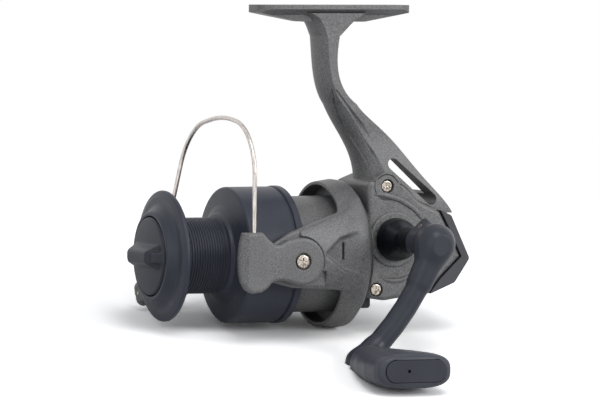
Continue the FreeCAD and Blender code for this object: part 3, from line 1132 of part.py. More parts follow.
def grip():
    """Spindle, grip, end cap and screw."""
    centre = grip_centre()
    begin = ELBOW_Y + GRIP_BOSS + SHIM
    end = begin + KNOB_LENGTH
    room_y = end - 7.4
    spindle = rod((centre.x, ELBOW_Y - 2.0, centre.z), (0, 1, 0), room_y + 0.1 - ELBOW_Y + 2.0, SPINDLE_R)
    add("knob_spindle", spindle.cut(rod((centre.x, room_y - 5.0, centre.z), (0, 1, 0), 10, SCREW_R)))
    wide, thick = KNOB_WIDE / 2, KNOB_THICK / 2
    slices = [(begin, KNOB_NECK_R, KNOB_NECK_R - 0.2, 0.96), (begin + 5, KNOB_NECK_R + 0.8, KNOB_NECK_R, 0.96),
              (begin + 15, wide * 0.68, thick * 0.98, 0.92), (begin + 28, wide * 0.95, thick, 0.9),
              (begin + 36, wide, thick, 0.9), (end, wide * 0.93, thick * 0.9, 0.9)]
    body = Part.makeLoft([grip_section(*s) for s in slices], True, False)
    body = body.makeFillet(1.4, [e for e in body.Edges if abs(e.BoundBox.YMin - end) < 1e-3
                                 and abs(e.BoundBox.YMax - end) < 1e-3])
    bore = rod((centre.x, begin - 1, centre.z), (0, 1, 0), room_y - begin + 1.5, SPINDLE_R + RUN)
    room = rod((centre.x, room_y, centre.z), (0, 1, 0), 5.4, 3.2)
    cap_wide, cap_thick = wide - 2.6, thick - 2.4
    cap_hole = grip_cap(end, cap_wide, cap_thick)
    add("knob", body.cut([bore, room, cap_hole]))
    add("knob_cap", grip_cap(end, cap_wide - 0.12, cap_thick - 0.12).cut(
        rod((centre.x + 2.8, end - 1.2, centre.z), (0, 1, 0), 3, 0.6)))
    add("knob_screw", pan_screw((centre.x, room_y + 0.1, centre.z), (0, -1, 0), 2.8, 1.2, SCREW_R, 4.5))


def grip_cap(end, half_wide, half_thick):
    """Oval cap let into the grip's outer end."""
    centre = grip_centre()
    r = half_thick * 0.96
    wire = rounded_wire([(half_wide, half_thick, r), (-half_wide, half_thick, r),
                         (-half_wide, -half_thick, r), (half_wide, -half_thick, r)],
                        lambda p: V(centre.x + p.x, end - 2.0, centre.z + p.y))
    return Part.Face(wire).extrude(Y * 2.0)


def handle():
    """Collar, arm, hinge pin and grip."""
    add("handle_collar", handle_collar())
    add("handle_arm", handle_arm())
    along = arm_direction()
    axis = along.cross(Y)
    hinge = V(AXLE_X, HINGE_Y, AXLE_Z) - along * HINGE_OFFSET
    add("handle_hinge_pin", Part.makeCylinder(HINGE_PIN_R, 9.6, hinge - axis * 4.8, axis))
    grip()


def to_foot_frame(shape):
    """Turn half round Z and hang below the foot: origin at the foot's top."""
    matrix = FreeCAD.Matrix(-1, 0, 0, 0, 0, -1, 0, 0, 0, 0, 1, -FOOT_TO_SHAFT, 0, 0, 0, 1)
    return shape.transformed(matrix, True)


add("body_housing", body_housing())
add("side_cover", side_cover())
add("rear_cover", rear_cover())
fasten_housing()
gear_train()
one_way_clutch()
add("anti_reverse_lever", anti_reverse_lever())
add("rotor", rotor())
rotor_fixings()
bail()
spool_group()
handle()

os.makedirs("parts", exist_ok=True)
for name, shape in NODES.items():
    to_foot_frame(shape).exportStep("parts/" + name + ".step")
print(len(NODES), "nodes")
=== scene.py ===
from math import radians

import bpy
import numpy as np
from mathutils import Matrix, Vector


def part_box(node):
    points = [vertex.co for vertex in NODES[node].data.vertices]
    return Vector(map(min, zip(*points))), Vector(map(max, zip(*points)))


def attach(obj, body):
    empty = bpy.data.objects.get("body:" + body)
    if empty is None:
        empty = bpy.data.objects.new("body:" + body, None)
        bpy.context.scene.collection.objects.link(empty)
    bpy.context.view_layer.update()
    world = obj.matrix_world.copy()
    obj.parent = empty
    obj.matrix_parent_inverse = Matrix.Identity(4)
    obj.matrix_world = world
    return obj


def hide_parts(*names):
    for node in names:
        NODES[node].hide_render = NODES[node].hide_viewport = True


bl_info = {
    "name": "Spinning reel dressing",
    "version": (1, 0, 0),
    "blender": (4, 5, 0),
    "location": "View3D > Sidebar > Reel",
    "description": "Finishes and outer pieces for a spinning reel on its construction frame",
    "category": "Object",
}

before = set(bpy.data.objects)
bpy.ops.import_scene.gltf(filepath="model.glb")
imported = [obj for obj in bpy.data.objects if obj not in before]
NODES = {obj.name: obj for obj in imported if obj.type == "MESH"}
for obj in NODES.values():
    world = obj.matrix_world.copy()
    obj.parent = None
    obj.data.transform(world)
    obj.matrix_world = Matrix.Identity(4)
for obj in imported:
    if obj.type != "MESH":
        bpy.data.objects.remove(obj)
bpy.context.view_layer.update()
MM = 0.001


# ---------------------------------------------------------------- places
def middle(node):
    """Middle of a node's box, in metres."""
    low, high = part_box(node)
    return (low + high) / 2


SHAFT_Z = middle("main_shaft").z


# ---------------------------------------------------------------- forms
def bench_of(point):
    """A world point as millimetres forward along the spool axis, to the handle side, and up
    from that axis."""
    return -point.x / MM, -point.y / MM, (point.z - SHAFT_Z) / MM


def smooth_max(a, b, k):
    """max(a, b) with its crease eased: max + h^2 k / 4, h = clip(1 - |a - b| / k, 0, 1)."""
    h = np.clip(1 - np.abs(a - b) / k, 0, 1)
    return np.maximum(a, b) + h * h * k / 4


def smooth_min(a, b, k):
    """min(a, b) with its crease eased."""
    return -smooth_max(-a, -b, k)


def outline(u, v, corners):
    """Signed distance from (u, v) to a closed polygon, negative inside."""
    shape = np.broadcast(u, v).shape
    nearest = np.full(shape, np.inf)
    inside = np.zeros(shape, bool)
    for (ax, ay), (bx, by) in zip(corners, corners[1:] + corners[:1]):
        ex, ey = bx - ax, by - ay
        share = np.clip(((u - ax) * ex + (v - ay) * ey) / (ex * ex + ey * ey), 0, 1)
        nearest = np.minimum(nearest, np.hypot(u - ax - ex * share, v - ay - ey * share))
        if ey:
            inside ^= ((ay > v) != (by > v)) & (u < ax + (v - ay) * ex / ey)
    return np.where(inside, -nearest, nearest)


def capsule(x, y, z, start, end, r0, r1):
    """Distance to a round bar between two points whose radius runs from r0 to r1."""
    start, end = np.array(start, float), np.array(end, float)
    run = end - start
    share = ((x - start[0]) * run[0] + (y - start[1]) * run[1] + (z - start[2]) * run[2]) / (run @ run)
    share = np.clip(share, 0, 1)
    off = [c - start[i] - run[i] * share for i, c in enumerate((x, y, z))]
    return np.sqrt(off[0] ** 2 + off[1] ** 2 + off[2] ** 2) - r0 - (r1 - r0) * share


def implicit(name, field, low, high, step):
    """Closed surface field(x, y, z) = 0, in millimetres on the bench, negative inside.

    Surface nets: every grid cell with both signs at its corners holds one vertex, and every
    grid edge that changes sign joins the four cells round it. The vertices are then moved
    onto the surface, p - f grad f / |grad f|^2, no further than their own cell."""
    axes = [np.arange(a - 2 * step, b + 2 * step, step) for a, b in zip(low, high)]
    value = field(*np.meshgrid(*axes, indexing="ij", sparse=True))
    value = np.broadcast_to(value, [len(a) for a in axes])
    inside = value < 0
    corners = sum(inside[i:i + len(axes[0]) - 1, j:j + len(axes[1]) - 1, k:k + len(axes[2]) - 1]
                  .astype(np.int8) for i in (0, 1) for j in (0, 1) for k in (0, 1))
    cells = np.argwhere((corners > 0) & (corners < 8))
    index = np.full(corners.shape, -1)
    index[tuple(cells.T)] = np.arange(len(cells))
    centre = np.stack([axes[n][cells[:, n]] + step / 2 for n in range(3)], -1)
    points = centre.copy()
    for _ in range(4):
        here, slope = gradient(field, points, step * 0.1)
        points -= slope * (here / np.maximum((slope ** 2).sum(1), 1e-6))[:, None]
        points = np.clip(points, centre - step * 0.55, centre + step * 0.55)
    faces = []
    for n in range(3):
        u, v = (n + 1) % 3, (n + 2) % 3
        first = [slice(1, -1)] * 3
        first[n] = slice(0, -1)
        second = list(first)
        second[n] = slice(1, None)
        here, ahead = inside[tuple(first)], inside[tuple(second)]
        spots = np.argwhere(here != ahead)
        leaving = here[tuple(spots.T)]
        for m in (u, v):
            spots[:, m] += 1
        ring = []
        for du, dv in ((-1, -1), (0, -1), (0, 0), (-1, 0)):
            cell = spots.copy()
            cell[:, u] += du
            cell[:, v] += dv
            ring.append(index[tuple(cell.T)])
        quads = np.stack(ring, -1)
        quads[~leaving] = quads[~leaving][:, ::-1]
        faces.append(quads)
    return piece(name, points, np.vstack(faces), gradient(field, points, step * 0.1)[1])


def gradient(field, points, reach):
    """Field and its slope at points, by central differences."""
    slope = np.empty_like(points)
    for n in range(3):
        shift = np.zeros(3)
        shift[n] = reach
        slope[:, n] = (field(*(points + shift).T) - field(*(points - shift).T)) / (2 * reach)
    return field(*points.T), slope


def piece(name, points, quads, normals=None):
    """A smooth object from bench points and quads that run anticlockwise seen from outside."""
    world = np.stack([-points[:, 0] * MM, -points[:, 1] * MM, points[:, 2] * MM + SHAFT_Z], -1)
    mesh = bpy.data.meshes.new(name)
    mesh.vertices.add(len(world))
    mesh.vertices.foreach_set("co", world.ravel())
    mesh.loops.add(quads.size)
    mesh.loops.foreach_set("vertex_index", quads.ravel().astype(np.int32))
    mesh.polygons.add(len(quads))
    mesh.polygons.foreach_set("loop_start", np.arange(0, quads.size, 4, dtype=np.int32))
    mesh.polygons.foreach_set("use_smooth", np.ones(len(quads), bool))
    mesh.update(calc_edges=True)
    if normals is not None:
        turned = normals * (-1, -1, 1)
        turned /= np.maximum(np.linalg.norm(turned, axis=1), 1e-9)[:, None]
        mesh.normals_split_custom_set_from_vertices(turned.tolist())
    made = bpy.data.objects.new(name, mesh)
    bpy.context.scene.collection.objects.link(made)
    return made


# ---------------------------------------------------------------- finishes
def linear(red, green, blue):
    """A screen colour, 0 to 255 a channel, as the linear colour that a shader takes."""
    screen = np.array([red, green, blue]) / 255.0
    low, high = screen / 12.92, ((screen + 0.055) / 1.055) ** 2.4
    return tuple(float(c) for c in np.where(screen <= 0.04045, low, high)) + (1.0,)


class Finish:
    """One node material: a shader, Object coordinates and short helpers to wire nodes."""

    def __init__(self, name, roughness, metallic=0.0, specular=0.5):
        self.material = bpy.data.materials.new(name)
        self.material.use_nodes = True
        self.tree = self.material.node_tree
        self.shader = self.tree.nodes["Principled BSDF"]
        self.shader.inputs["Roughness"].default_value = roughness
        self.shader.inputs["Metallic"].default_value = metallic
        self.shader.inputs["Specular IOR Level"].default_value = specular
        self.place = self.tree.nodes.new("ShaderNodeTexCoord").outputs["Object"]

    def node(self, kind, settings=(), **inputs):
        """Add a node, set its properties, then link or set its inputs by name."""
        made = self.tree.nodes.new(kind)
        for key, value in dict(settings).items():
            setattr(made, key, value)
        for key, value in inputs.items():
            socket = made.inputs[key.replace("_", " ")]
            if isinstance(value, bpy.types.NodeSocket):
                self.tree.links.new(value, socket)
            else:
                socket.default_value = value
        return made

    def noise(self, grains_per_mm, detail=2.0, stretch=(1, 1, 1)):
        """Noise value, a number of grains to the millimetre."""
        turned = self.node("ShaderNodeMapping", Vector=self.place, Scale=stretch)
        made = self.node("ShaderNodeTexNoise", Vector=turned.outputs["Vector"],
                         Scale=grains_per_mm / MM, Detail=detail)
        return made.outputs["Fac"]

    def ramp(self, value, stops):
        """Colour ramp through (position, colour) stops."""
        made = self.node("ShaderNodeValToRGB", Fac=value)
        ramp = made.color_ramp
        while len(ramp.elements) < len(stops):
            ramp.elements.new(0.5)
        for element, (position, colour) in zip(ramp.elements, stops):
            element.position = position
            element.color = colour
        return made.outputs["Color"]

    def spread(self, value, low, high):
        """Rescale a 0 to 1 value to a range."""
        made = self.node("ShaderNodeMapRange", Value=value)
        made.inputs["To Min"].default_value = low
        made.inputs["To Max"].default_value = high
        return made.outputs["Result"]

    def colour(self, socket):
        self.tree.links.new(socket, self.shader.inputs["Base Color"])

    def roughness(self, socket):
        self.tree.links.new(socket, self.shader.inputs["Roughness"])

    def relief(self, value, depth_mm, edge_mm=0.0):
        """Bump from a value, over edges that are eased by a small radius."""
        bump = self.node("ShaderNodeBump", Height=value, Distance=depth_mm * MM, Strength=1.0)
        if edge_mm:
            eased = self.node("ShaderNodeBevel", {"samples": 4}, Radius=edge_mm * MM)
            self.tree.links.new(eased.outputs["Normal"], bump.inputs["Normal"])
        self.tree.links.new(bump.outputs["Normal"], self.shader.inputs["Normal"])


def speckled(name, low, high, roughness, metallic, grain=2.2, edge_mm=0.25):
    """Sprayed metal-flake finish: fine light and dark grains over a soft drift of tone."""
    made = Finish(name, roughness, metallic)
    grains = made.noise(grain, 3.0)
    drift = made.noise(0.06, 2.0)
    both = made.node("ShaderNodeMath", {"operation": "MULTIPLY_ADD"})
    made.tree.links.new(drift, both.inputs[0])
    both.inputs[1].default_value = 0.25
    made.tree.links.new(grains, both.inputs[2])
    made.colour(made.ramp(both.outputs[0], [(0.40, low), (0.85, high)]))
    made.roughness(made.spread(grains, roughness - 0.08, roughness + 0.10))
    made.relief(grains, 0.02, edge_mm)
    return made.material


def moulded(name, colour, shade, roughness, edge_mm=0.25, grain=1.2, specular=0.5):
    """Moulded plastic: an even colour with a faint cloud, fine texture and eased edges."""
    made = Finish(name, roughness, 0.0, specular)
    cloud = made.noise(0.09, 3.0)
    made.colour(made.ramp(cloud, [(0.3, shade), (0.7, colour)]))
    fine = made.noise(grain, 2.0)
    made.roughness(made.spread(fine, roughness - 0.05, roughness + 0.07))
    made.relief(fine, 0.006, edge_mm)
    return made.material


def bright_metal(name, colour, shade, roughness, stretch=(1, 1, 1), edge_mm=0.15):
    """Polished or brushed metal with fine drawn lines."""
    made = Finish(name, roughness, 1.0)
    lines = made.noise(1.5, 3.0, stretch)
    made.colour(made.ramp(lines, [(0.3, shade), (0.7, colour)]))
    made.roughness(made.spread(lines, roughness * 0.7, roughness * 1.4))
    made.relief(lines, 0.004, edge_mm)
    return made.material


def felt(name):
    """Pressed felt: dull fibres."""
    made = Finish(name, 0.95)
    fibres = made.noise(2.5, 4.0, (1, 6, 6))
    made.colour(made.ramp(fibres, [(0.3, linear(120, 112, 96)), (0.7, linear(188, 178, 156))]))
    made.relief(fibres, 0.05)
    return made.material


class ReelFinishes(bpy.types.PropertyGroup):
    """Colours and textures of the reel's finishes."""

    body: bpy.props.FloatVectorProperty(
        name="Body grey", description="Body, rotor and bail levers", subtype="COLOR", size=4,
        default=linear(100, 100, 101), min=0, max=1)
    grain: bpy.props.FloatProperty(
        name="Grain", description="Speckles to the millimetre", default=2.1, min=0.2)
    spool: bpy.props.FloatVectorProperty(
        name="Spool", description="Spool's satin navy charcoal", subtype="COLOR", size=4,
        default=linear(54, 57, 69), min=0, max=1)
    drag_knob: bpy.props.FloatVectorProperty(
        name="Drag knob", description="Drag knob's charcoal", subtype="COLOR", size=4,
        default=linear(46, 49, 59), min=0, max=1)
    handle: bpy.props.FloatVectorProperty(
        name="Handle arm", description="Handle arm's charcoal", subtype="COLOR", size=4,
        default=linear(54, 57, 67), min=0, max=1)
    grip: bpy.props.FloatVectorProperty(
        name="Grip", description="Grip's charcoal", subtype="COLOR", size=4,
        default=linear(68, 71, 80), min=0, max=1)
    trim: bpy.props.FloatVectorProperty(
        name="Trim", description="Charcoal of the grip's cap and the reverse lever", subtype="COLOR",
        size=4, default=linear(50, 52, 62), min=0, max=1)
    # The neck's near black is partly the collar's own dark plastic and partly painted shade: it is darker
    # than the other charcoals because the collar sits in shade and reflects dark surroundings.
    neck: bpy.props.FloatVectorProperty(
        name="Handle neck", description="Near black of the ribbed neck", subtype="COLOR", size=4,
        default=linear(14, 18, 25), min=0, max=1)


def toned(colour, factor):
    """A colour made darker or lighter, its alpha kept at 1."""
    return tuple(c * factor for c in colour[:3]) + (1.0,)


def sprayed():
    """The sprayed grey of the body, the rotor and the bail levers."""
    sizes = bpy.context.scene.reel_finishes
    low, high = toned(sizes.body, 0.55), toned(sizes.body, 1.55)
    return speckled("sprayed grey", low, high, 0.46, 0.2, sizes.grain)


def charcoal(colour, roughness):
    """Satin navy charcoal of the spool, the knob and the handle."""
    return moulded("charcoal satin", tuple(colour), toned(colour, 0.78), roughness, specular=0.28)


def assign(material, *names):
    """Give CAD nodes a material in every slot."""
    for name in names:
        slots = NODES[name].data.materials
        for i in range(len(slots)):
            slots[i] = material


class REEL_OT_finishes(bpy.types.Operator):
    """Give every construction node its finish"""

    bl_idname = "reel.finishes"
    bl_label = "Finish the construction nodes"

    def execute(self, context):
        body = sprayed()
        colours = context.scene.reel_finishes
        dark, neck = charcoal(colours.trim, 0.36), charcoal(colours.neck, 0.30)
        slate = moulded("dark slate", linear(60, 61, 67), linear(52, 53, 59), 0.45)
        steel = bright_metal("bright steel", linear(236, 226, 214), linear(118, 108, 98), 0.16)
        wire = bright_metal("drawn wire", linear(226, 219, 214), linear(176, 168, 164), 0.24,
                            (1, 1, 0.2))
        plain = bright_metal("plain steel", linear(190, 190, 190), linear(160, 160, 162), 0.3)
        brass = bright_metal("brass", linear(214, 178, 104), linear(186, 150, 82), 0.28)
        zinc = bright_metal("cast zinc", linear(168, 170, 172), linear(138, 140, 143), 0.42)
        nylon = moulded("white nylon", linear(206, 204, 196), linear(190, 188, 180), 0.45)
        assign(body, "body_housing", "side_cover", "near_bail_arm", "roller_bail_arm", "far_side_cap",
               "rotor")
        assign(dark, "spool", "drag_knob", "handle_arm", "knob", "knob_cap", "anti_reverse_lever",
               "wire_cap")
        # The collar's near black includes painted shade.
        assign(neck, "handle_collar")
        assign(slate, "rear_cover")
        assign(wire, "bail_wire")
        assign(steel, "cover_screws", "bail_pivot_screws", "line_roller_screw",
               "handle_hinge_pin", "line_roller")
        assign(plain, "main_shaft", "drive_axle", "slider_guide_rod", "pinion_bearing",
               "handle_side_bearing", "far_side_bush", "clutch_rollers", "clutch_sleeve",
               "clutch_screws", "bail_spring", "rotor_washer", "rotor_nut", "knob_spindle",
               "knob_screw", "drag_metal_washers", "drag_retaining_ring", "drag_spring", "drag_nut",
               "spool_seat_pin", "spool_seat_washer", "oscillation_axle")
        assign(brass, "pinion_gear", "line_roller_bush")
        assign(zinc, "drive_gear", "oscillation_drive_gear", "oscillation_slider")
        assign(nylon, "oscillation_gear", "clutch_cage", "clutch_housing")
        assign(felt("felt"), "drag_felt_washers")
        return {"FINISHED"}


# ---------------------------------------------------------------- lines on the cover
def surface(x, z):
    """How far out, to the handle side, the housing or its cover reaches at (x, z)."""
    start, way = Vector((-x * MM, -0.05, z * MM + SHAFT_Z)), Vector((0, 1, 0))
    hits = [NODES[name].ray_cast(start, way) for name in ("body_housing", "side_cover")]
    return max(-hit[1].y / MM for hit in hits if hit[0])


def laid(name, corners, half, rise, material):
    """A low bead laid on the cover: p(s, t) = route(s) + side half(s) cos t + out rise(s) sin t,
    where half and rise fall to a fifth at both ends and the route is eased at its corners."""
    corners = np.array(corners, float)
    run = np.concatenate([[0], np.cumsum(np.linalg.norm(np.diff(corners, axis=0), axis=1))])
    s = np.linspace(0, run[-1], int(run[-1] / 0.6))
    route = np.stack([np.interp(s, run, corners[:, n]) for n in (0, 1)], -1)
    for _ in range(4):
        route[1:-1] = (route[:-2] + 2 * route[1:-1] + route[2:]) / 4
    out = np.array([surface(*spot) for spot in route])
    for _ in range(2):
        out[1:-1] = (out[:-2] + 2 * out[1:-1] + out[2:]) / 4
    along = np.gradient(route, axis=0)
    along /= np.linalg.norm(along, axis=1)[:, None]
    taper = np.clip(np.minimum(s, s[-1] - s) / 4.0, 0.2, 1)[:, None]
    t = np.arange(8) * np.pi / 4
    points = np.empty((len(s), 8, 3))
    points[..., 0] = route[:, :1] + along[:, 1:] * half * taper * np.cos(t)
    points[..., 1] = out[:, None] + rise * taper * np.sin(t)
    points[..., 2] = route[:, 1:] - along[:, :1] * half * taper * np.cos(t)
    i, k = np.meshgrid(np.arange(len(s) - 1), np.arange(8), indexing="ij")
    k2 = (k + 1) % 8
    sides = np.stack([i * 8 + k, i * 8 + k2, (i + 1) * 8 + k2, (i + 1) * 8 + k], -1).reshape(-1, 4)
    cap = np.array([(0, 1, 6, 7), (1, 2, 5, 6), (2, 3, 4, 5)])
    made = piece(name, points.reshape(-1, 3), np.vstack([sides, cap[:, ::-1], cap + (len(s) - 1) * 8]))
    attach(made, "housing")
    made.data.materials.append(material)


class REEL_OT_cover_lines(bpy.types.Operator):
    """Side cover: a near-black bead that paints the seam's shadow along its upper edge, and the two ridges
    round the handle's boss
    """

    bl_idname = "reel.cover_lines"
    bl_label = "Lines on the side cover"

    def execute(self, context):
        seam = [(-9.6, 25.9), (-11.2, 25.8), (-12.6, 27.5), (-14.3, 28.5), (-16.4, 28.5), (-18.4, 27.6),
                (-19.6, 25.6), (-20.6, 24.9), (-23.0, 24.0), (-25.9, 21.3), (-29.9, 18.6), (-33.9, 17.0),
                (-36.2, 16.0)]
        upper = [(-10.7, 21.3), (-14.0, 21.3), (-17.1, 20.6), (-20.4, 19.7), (-23.3, 18.2), (-26.0, 16.6),
                 (-28.2, 14.6), (-31.0, 10.6)]
        lower = [(-12.9, -7.6), (-16.4, -9.1), (-20.8, -9.1), (-26.5, -6.9)]
        # The seam bead is painted shadow: a near-black strip laid where the gap between cover and housing
        # lies in shade.
        dark = moulded("seam shadow", linear(26, 27, 30), linear(20, 21, 24), 0.7)
        laid("cover_seam", seam, 0.2, 0.09, dark)
        spray = sprayed()
        laid("cover_ridge_upper", upper, 1.1, 0.5, spray)
        laid("cover_ridge_lower", lower, 0.9, 0.4, spray)
        return {"FINISHED"}


# ---------------------------------------------------------------- turned pieces
def eased(corners, arcs=5):
    """Points and outward normals of a closed profile of (x, radius, corner radius)."""
    rows = []
    count = len(corners)
    area = sum(a[0] * b[1] - b[0] * a[1] for a, b in zip(corners, corners[1:] + corners[:1]))
    turn = 1.0 if area > 0 else -1.0
    for i, (x, r, ease) in enumerate(corners):
        here = np.array((x, r))
        back = np.array(corners[i - 1][:2]) - here
        ahead = np.array(corners[(i + 1) % count][:2]) - here
        lengths = np.linalg.norm(back), np.linalg.norm(ahead)
        back, ahead = back / lengths[0], ahead / lengths[1]
        half = np.arccos(np.clip(back @ ahead, -1, 1)) / 2
        into, out = np.array((-back[1], back[0])) * turn, np.array((ahead[1], -ahead[0])) * turn
        if half > 1.565:
            rows.append((*here, *out))
            continue
        reach = min(max(ease, 0.04) / np.tan(half), 0.48 * min(lengths))
        ease = reach * np.tan(half)
        middle = (back + ahead) / np.linalg.norm(back + ahead)
        centre = here + middle * ease / np.sin(half)
        bulge = 1.0 if (into + out) @ middle < 0 else -1.0
        for share in np.linspace(0, 1, arcs):
            normal = into * (1 - share) + out * share
            normal /= np.linalg.norm(normal)
            rows.append((*(centre + normal * ease * bulge), *normal))
    return np.array(rows)


def turned(name, corners, steps=144):
    """Profile (x, r) swept round the spool axis: p(i, t) = (x_i, r_i cos t, r_i sin t)."""
    rows = eased(corners)
    t = np.linspace(0, 2 * np.pi, steps, endpoint=False)
    across = np.stack([np.cos(t), np.sin(t)], -1)
    points, normals = np.empty((len(rows), steps, 3)), np.empty((len(rows), steps, 3))
    points[..., 0], normals[..., 0] = rows[:, None, 0], rows[:, None, 2]
    points[..., 1:] = rows[:, None, 1, None] * across
    normals[..., 1:] = rows[:, None, 3, None] * across
    i, j = np.meshgrid(np.arange(len(rows)), np.arange(steps), indexing="ij")
    i2, j2 = (i + 1) % len(rows), (j + 1) % steps
    quads = np.stack([i * steps + j, i * steps + j2, i2 * steps + j2, i2 * steps + j], -1).reshape(-1, 4)
    area = sum(a[0] * b[1] - b[0] * a[1] for a, b in zip(rows, np.roll(rows, -1, 0)))
    if area > 0:
        quads = quads[:, ::-1]
    return piece(name, points.reshape(-1, 3), quads, normals.reshape(-1, 3))


class ReelSpool(bpy.types.PropertyGroup):
    """Spool sizes."""

    rings: bpy.props.IntProperty(
        name="Rings", description="Fine rings round the arbor", default=17, min=4)
    ring_depth: bpy.props.FloatProperty(
        name="Ring depth", description="Depth of the grooves between them", default=0.00035,
        subtype="DISTANCE", unit="LENGTH")


def span(node):
    """Bench limits of a node: rear and front along the axis, and its outer radius."""
    low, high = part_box(node)
    return -high.x / MM, -low.x / MM, (high.z - SHAFT_Z) / MM


class REEL_OT_spool(bpy.types.Operator):
    """Spool: skirt with a full front shoulder, ringed arbor and rolled flange"""

    bl_idname = "reel.spool"
    bl_label = "Spool"

    def execute(self, context):
        sizes = context.scene.reel_spool
        rear, front, skirt = span("spool")
        skirt -= 0.3
        arbor, wall = skirt * 0.558, 1.8
        inner, hollow = skirt - wall, arbor - 2.1
        shoulder, rim, collar = rear + 20.6, front - 2.6, front + 1.6
        ledge = rim - 3.2
        floor, pocket, knob = front - 16.6, front - 4.5, 14.1
        flange = skirt - 1.0
        profile = [(rear + 22.7, 1.66, 0.1), (rear + 22.7, 4.6, 0.1), (floor - 2.0, 4.6, 1.0),
                   (floor - 2.0, hollow, 1.0), (shoulder - 2.0, hollow, 0.2),
                   (shoulder - 2.0, inner, 1.5), (rear, inner, 0.1), (rear, skirt + 0.3, 0.5),
                   (rear + 2.4, skirt + 0.3, 0.4), (rear + 2.7, skirt - 0.5, 0.1),
                   (rear + 3.2, skirt - 0.5, 0.1), (rear + 3.5, skirt, 0.3),
                   (shoulder, skirt, 1.1), (shoulder + 1.0, arbor + 4.4, 4.0),
                   (shoulder + 2.2, arbor + 1.5, 0.8), (shoulder + 3.4, arbor + 1.1, 0.5),
                   (shoulder + 3.8, arbor, 0.1)]
        start = shoulder + 4.2
        pitch = (ledge - start) / sizes.rings
        depth = sizes.ring_depth / MM
        for k in range(sizes.rings):
            x = start + k * pitch
            profile += [(x, arbor, 0.08), (x + pitch * 0.5, arbor, 0.08),
                        (x + pitch * 0.62, arbor - depth, 0.06), (x + pitch * 0.88, arbor - depth, 0.06)]
        profile += [(ledge, arbor, 0.3), (ledge + 0.7, flange - 1.4, 0.8), (ledge + 1.6, flange, 1.0),
                    (rim - 0.2, flange, 1.0), (rim + 0.5, flange - 2.4, 1.2), (rim + 0.7, 17.9, 1.8),
                    (rim + 2.2, 16.6, 1.4), (collar, 15.5, 1.0), (collar, knob, 0.35),
                    (pocket + 0.3, knob, 0.1), (pocket + 0.3, hollow, 0.2), (floor, hollow, 0.2),
                    (floor, 1.66, 0.1)]
        made = turned("dressed_spool", profile, 192)
        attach(made, "spool_group")
        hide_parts("spool")
        made.data.materials.append(charcoal(context.scene.reel_finishes.spool, 0.38))
        return {"FINISHED"}


class REEL_OT_drag_knob(bpy.types.Operator):
    """Drag knob: a shallow dome with a wide tapering grip fin"""

    bl_idname = "reel.drag_knob"
    bl_label = "Drag knob"

    def execute(self, context):
        rear, tip, radius = span("drag_knob")
        face = tip - 3.9

        def field(x, y, z):
            r = np.hypot(y, z)
            dome = face - 0.9 * (r / radius) ** 2
            disc = smooth_max(smooth_max(x - dome, r - radius, 1.0), rear + 4.6 - x, 0.3)
            hub = np.maximum(np.maximum(r - 8.6, rear - x), x - face + 1.0)
            rise = np.clip((x - face) / (tip - face), 0, 1)
            block = smooth_max(np.abs(y) - (10.2 - 2.0 * rise), np.abs(z) - (4.1 - 2.1 * rise), 0.7)
            block = smooth_max(block, x - tip, 1.0)
            rib = smooth_max(np.abs(y) - (radius - 0.7 - 1.6 * rise), np.abs(z) - (2.0 - 0.5 * rise), 0.7)
            rib = smooth_max(rib, x - face - 2.4, 0.8)
            fin = np.maximum(smooth_min(block, rib, 0.8), face - 3.0 - x)
            body = smooth_min(np.minimum(disc, hub), fin, 0.9)
            return np.maximum(body, -np.maximum(r - 5.2, x - face + 1.7))

        made = implicit("dressed_drag_knob", field, (rear, -radius, -radius), (tip, radius, radius), 0.3)
        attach(made, "drag_adjuster")
        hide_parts("drag_knob")
        made.data.materials.append(charcoal(context.scene.reel_finishes.drag_knob, 0.42))
        return {"FINISHED"}


# ---------------------------------------------------------------- rotor and bail
def bail_pivot():
    """Where the bail's pivot screws lie: forward and up, in millimetres on the bench."""
    at = bench_of(middle("bail_pivot_screws"))
    return at[0], at[2]


class ReelRotor(bpy.types.PropertyGroup):
    """Rotor and bail lever sizes."""

    recess: bpy.props.FloatProperty(
        name="Recess floor", description="Distance of the arms' recess from the spool axis",
        default=0.0264, min=0.0262, max=0.029, subtype="DISTANCE", unit="LENGTH")
    blend: bpy.props.FloatProperty(
        name="Blend", description="How softly the arms flow into the ring",
        default=0.0024, min=0.0005, max=0.004, subtype="DISTANCE", unit="LENGTH")
    lever_edge: bpy.props.FloatProperty(
        name="Lever edge", description="Rounding round the bail lever's face",
        default=0.0013, min=0.0002, max=0.002, subtype="DISTANCE", unit="LENGTH")


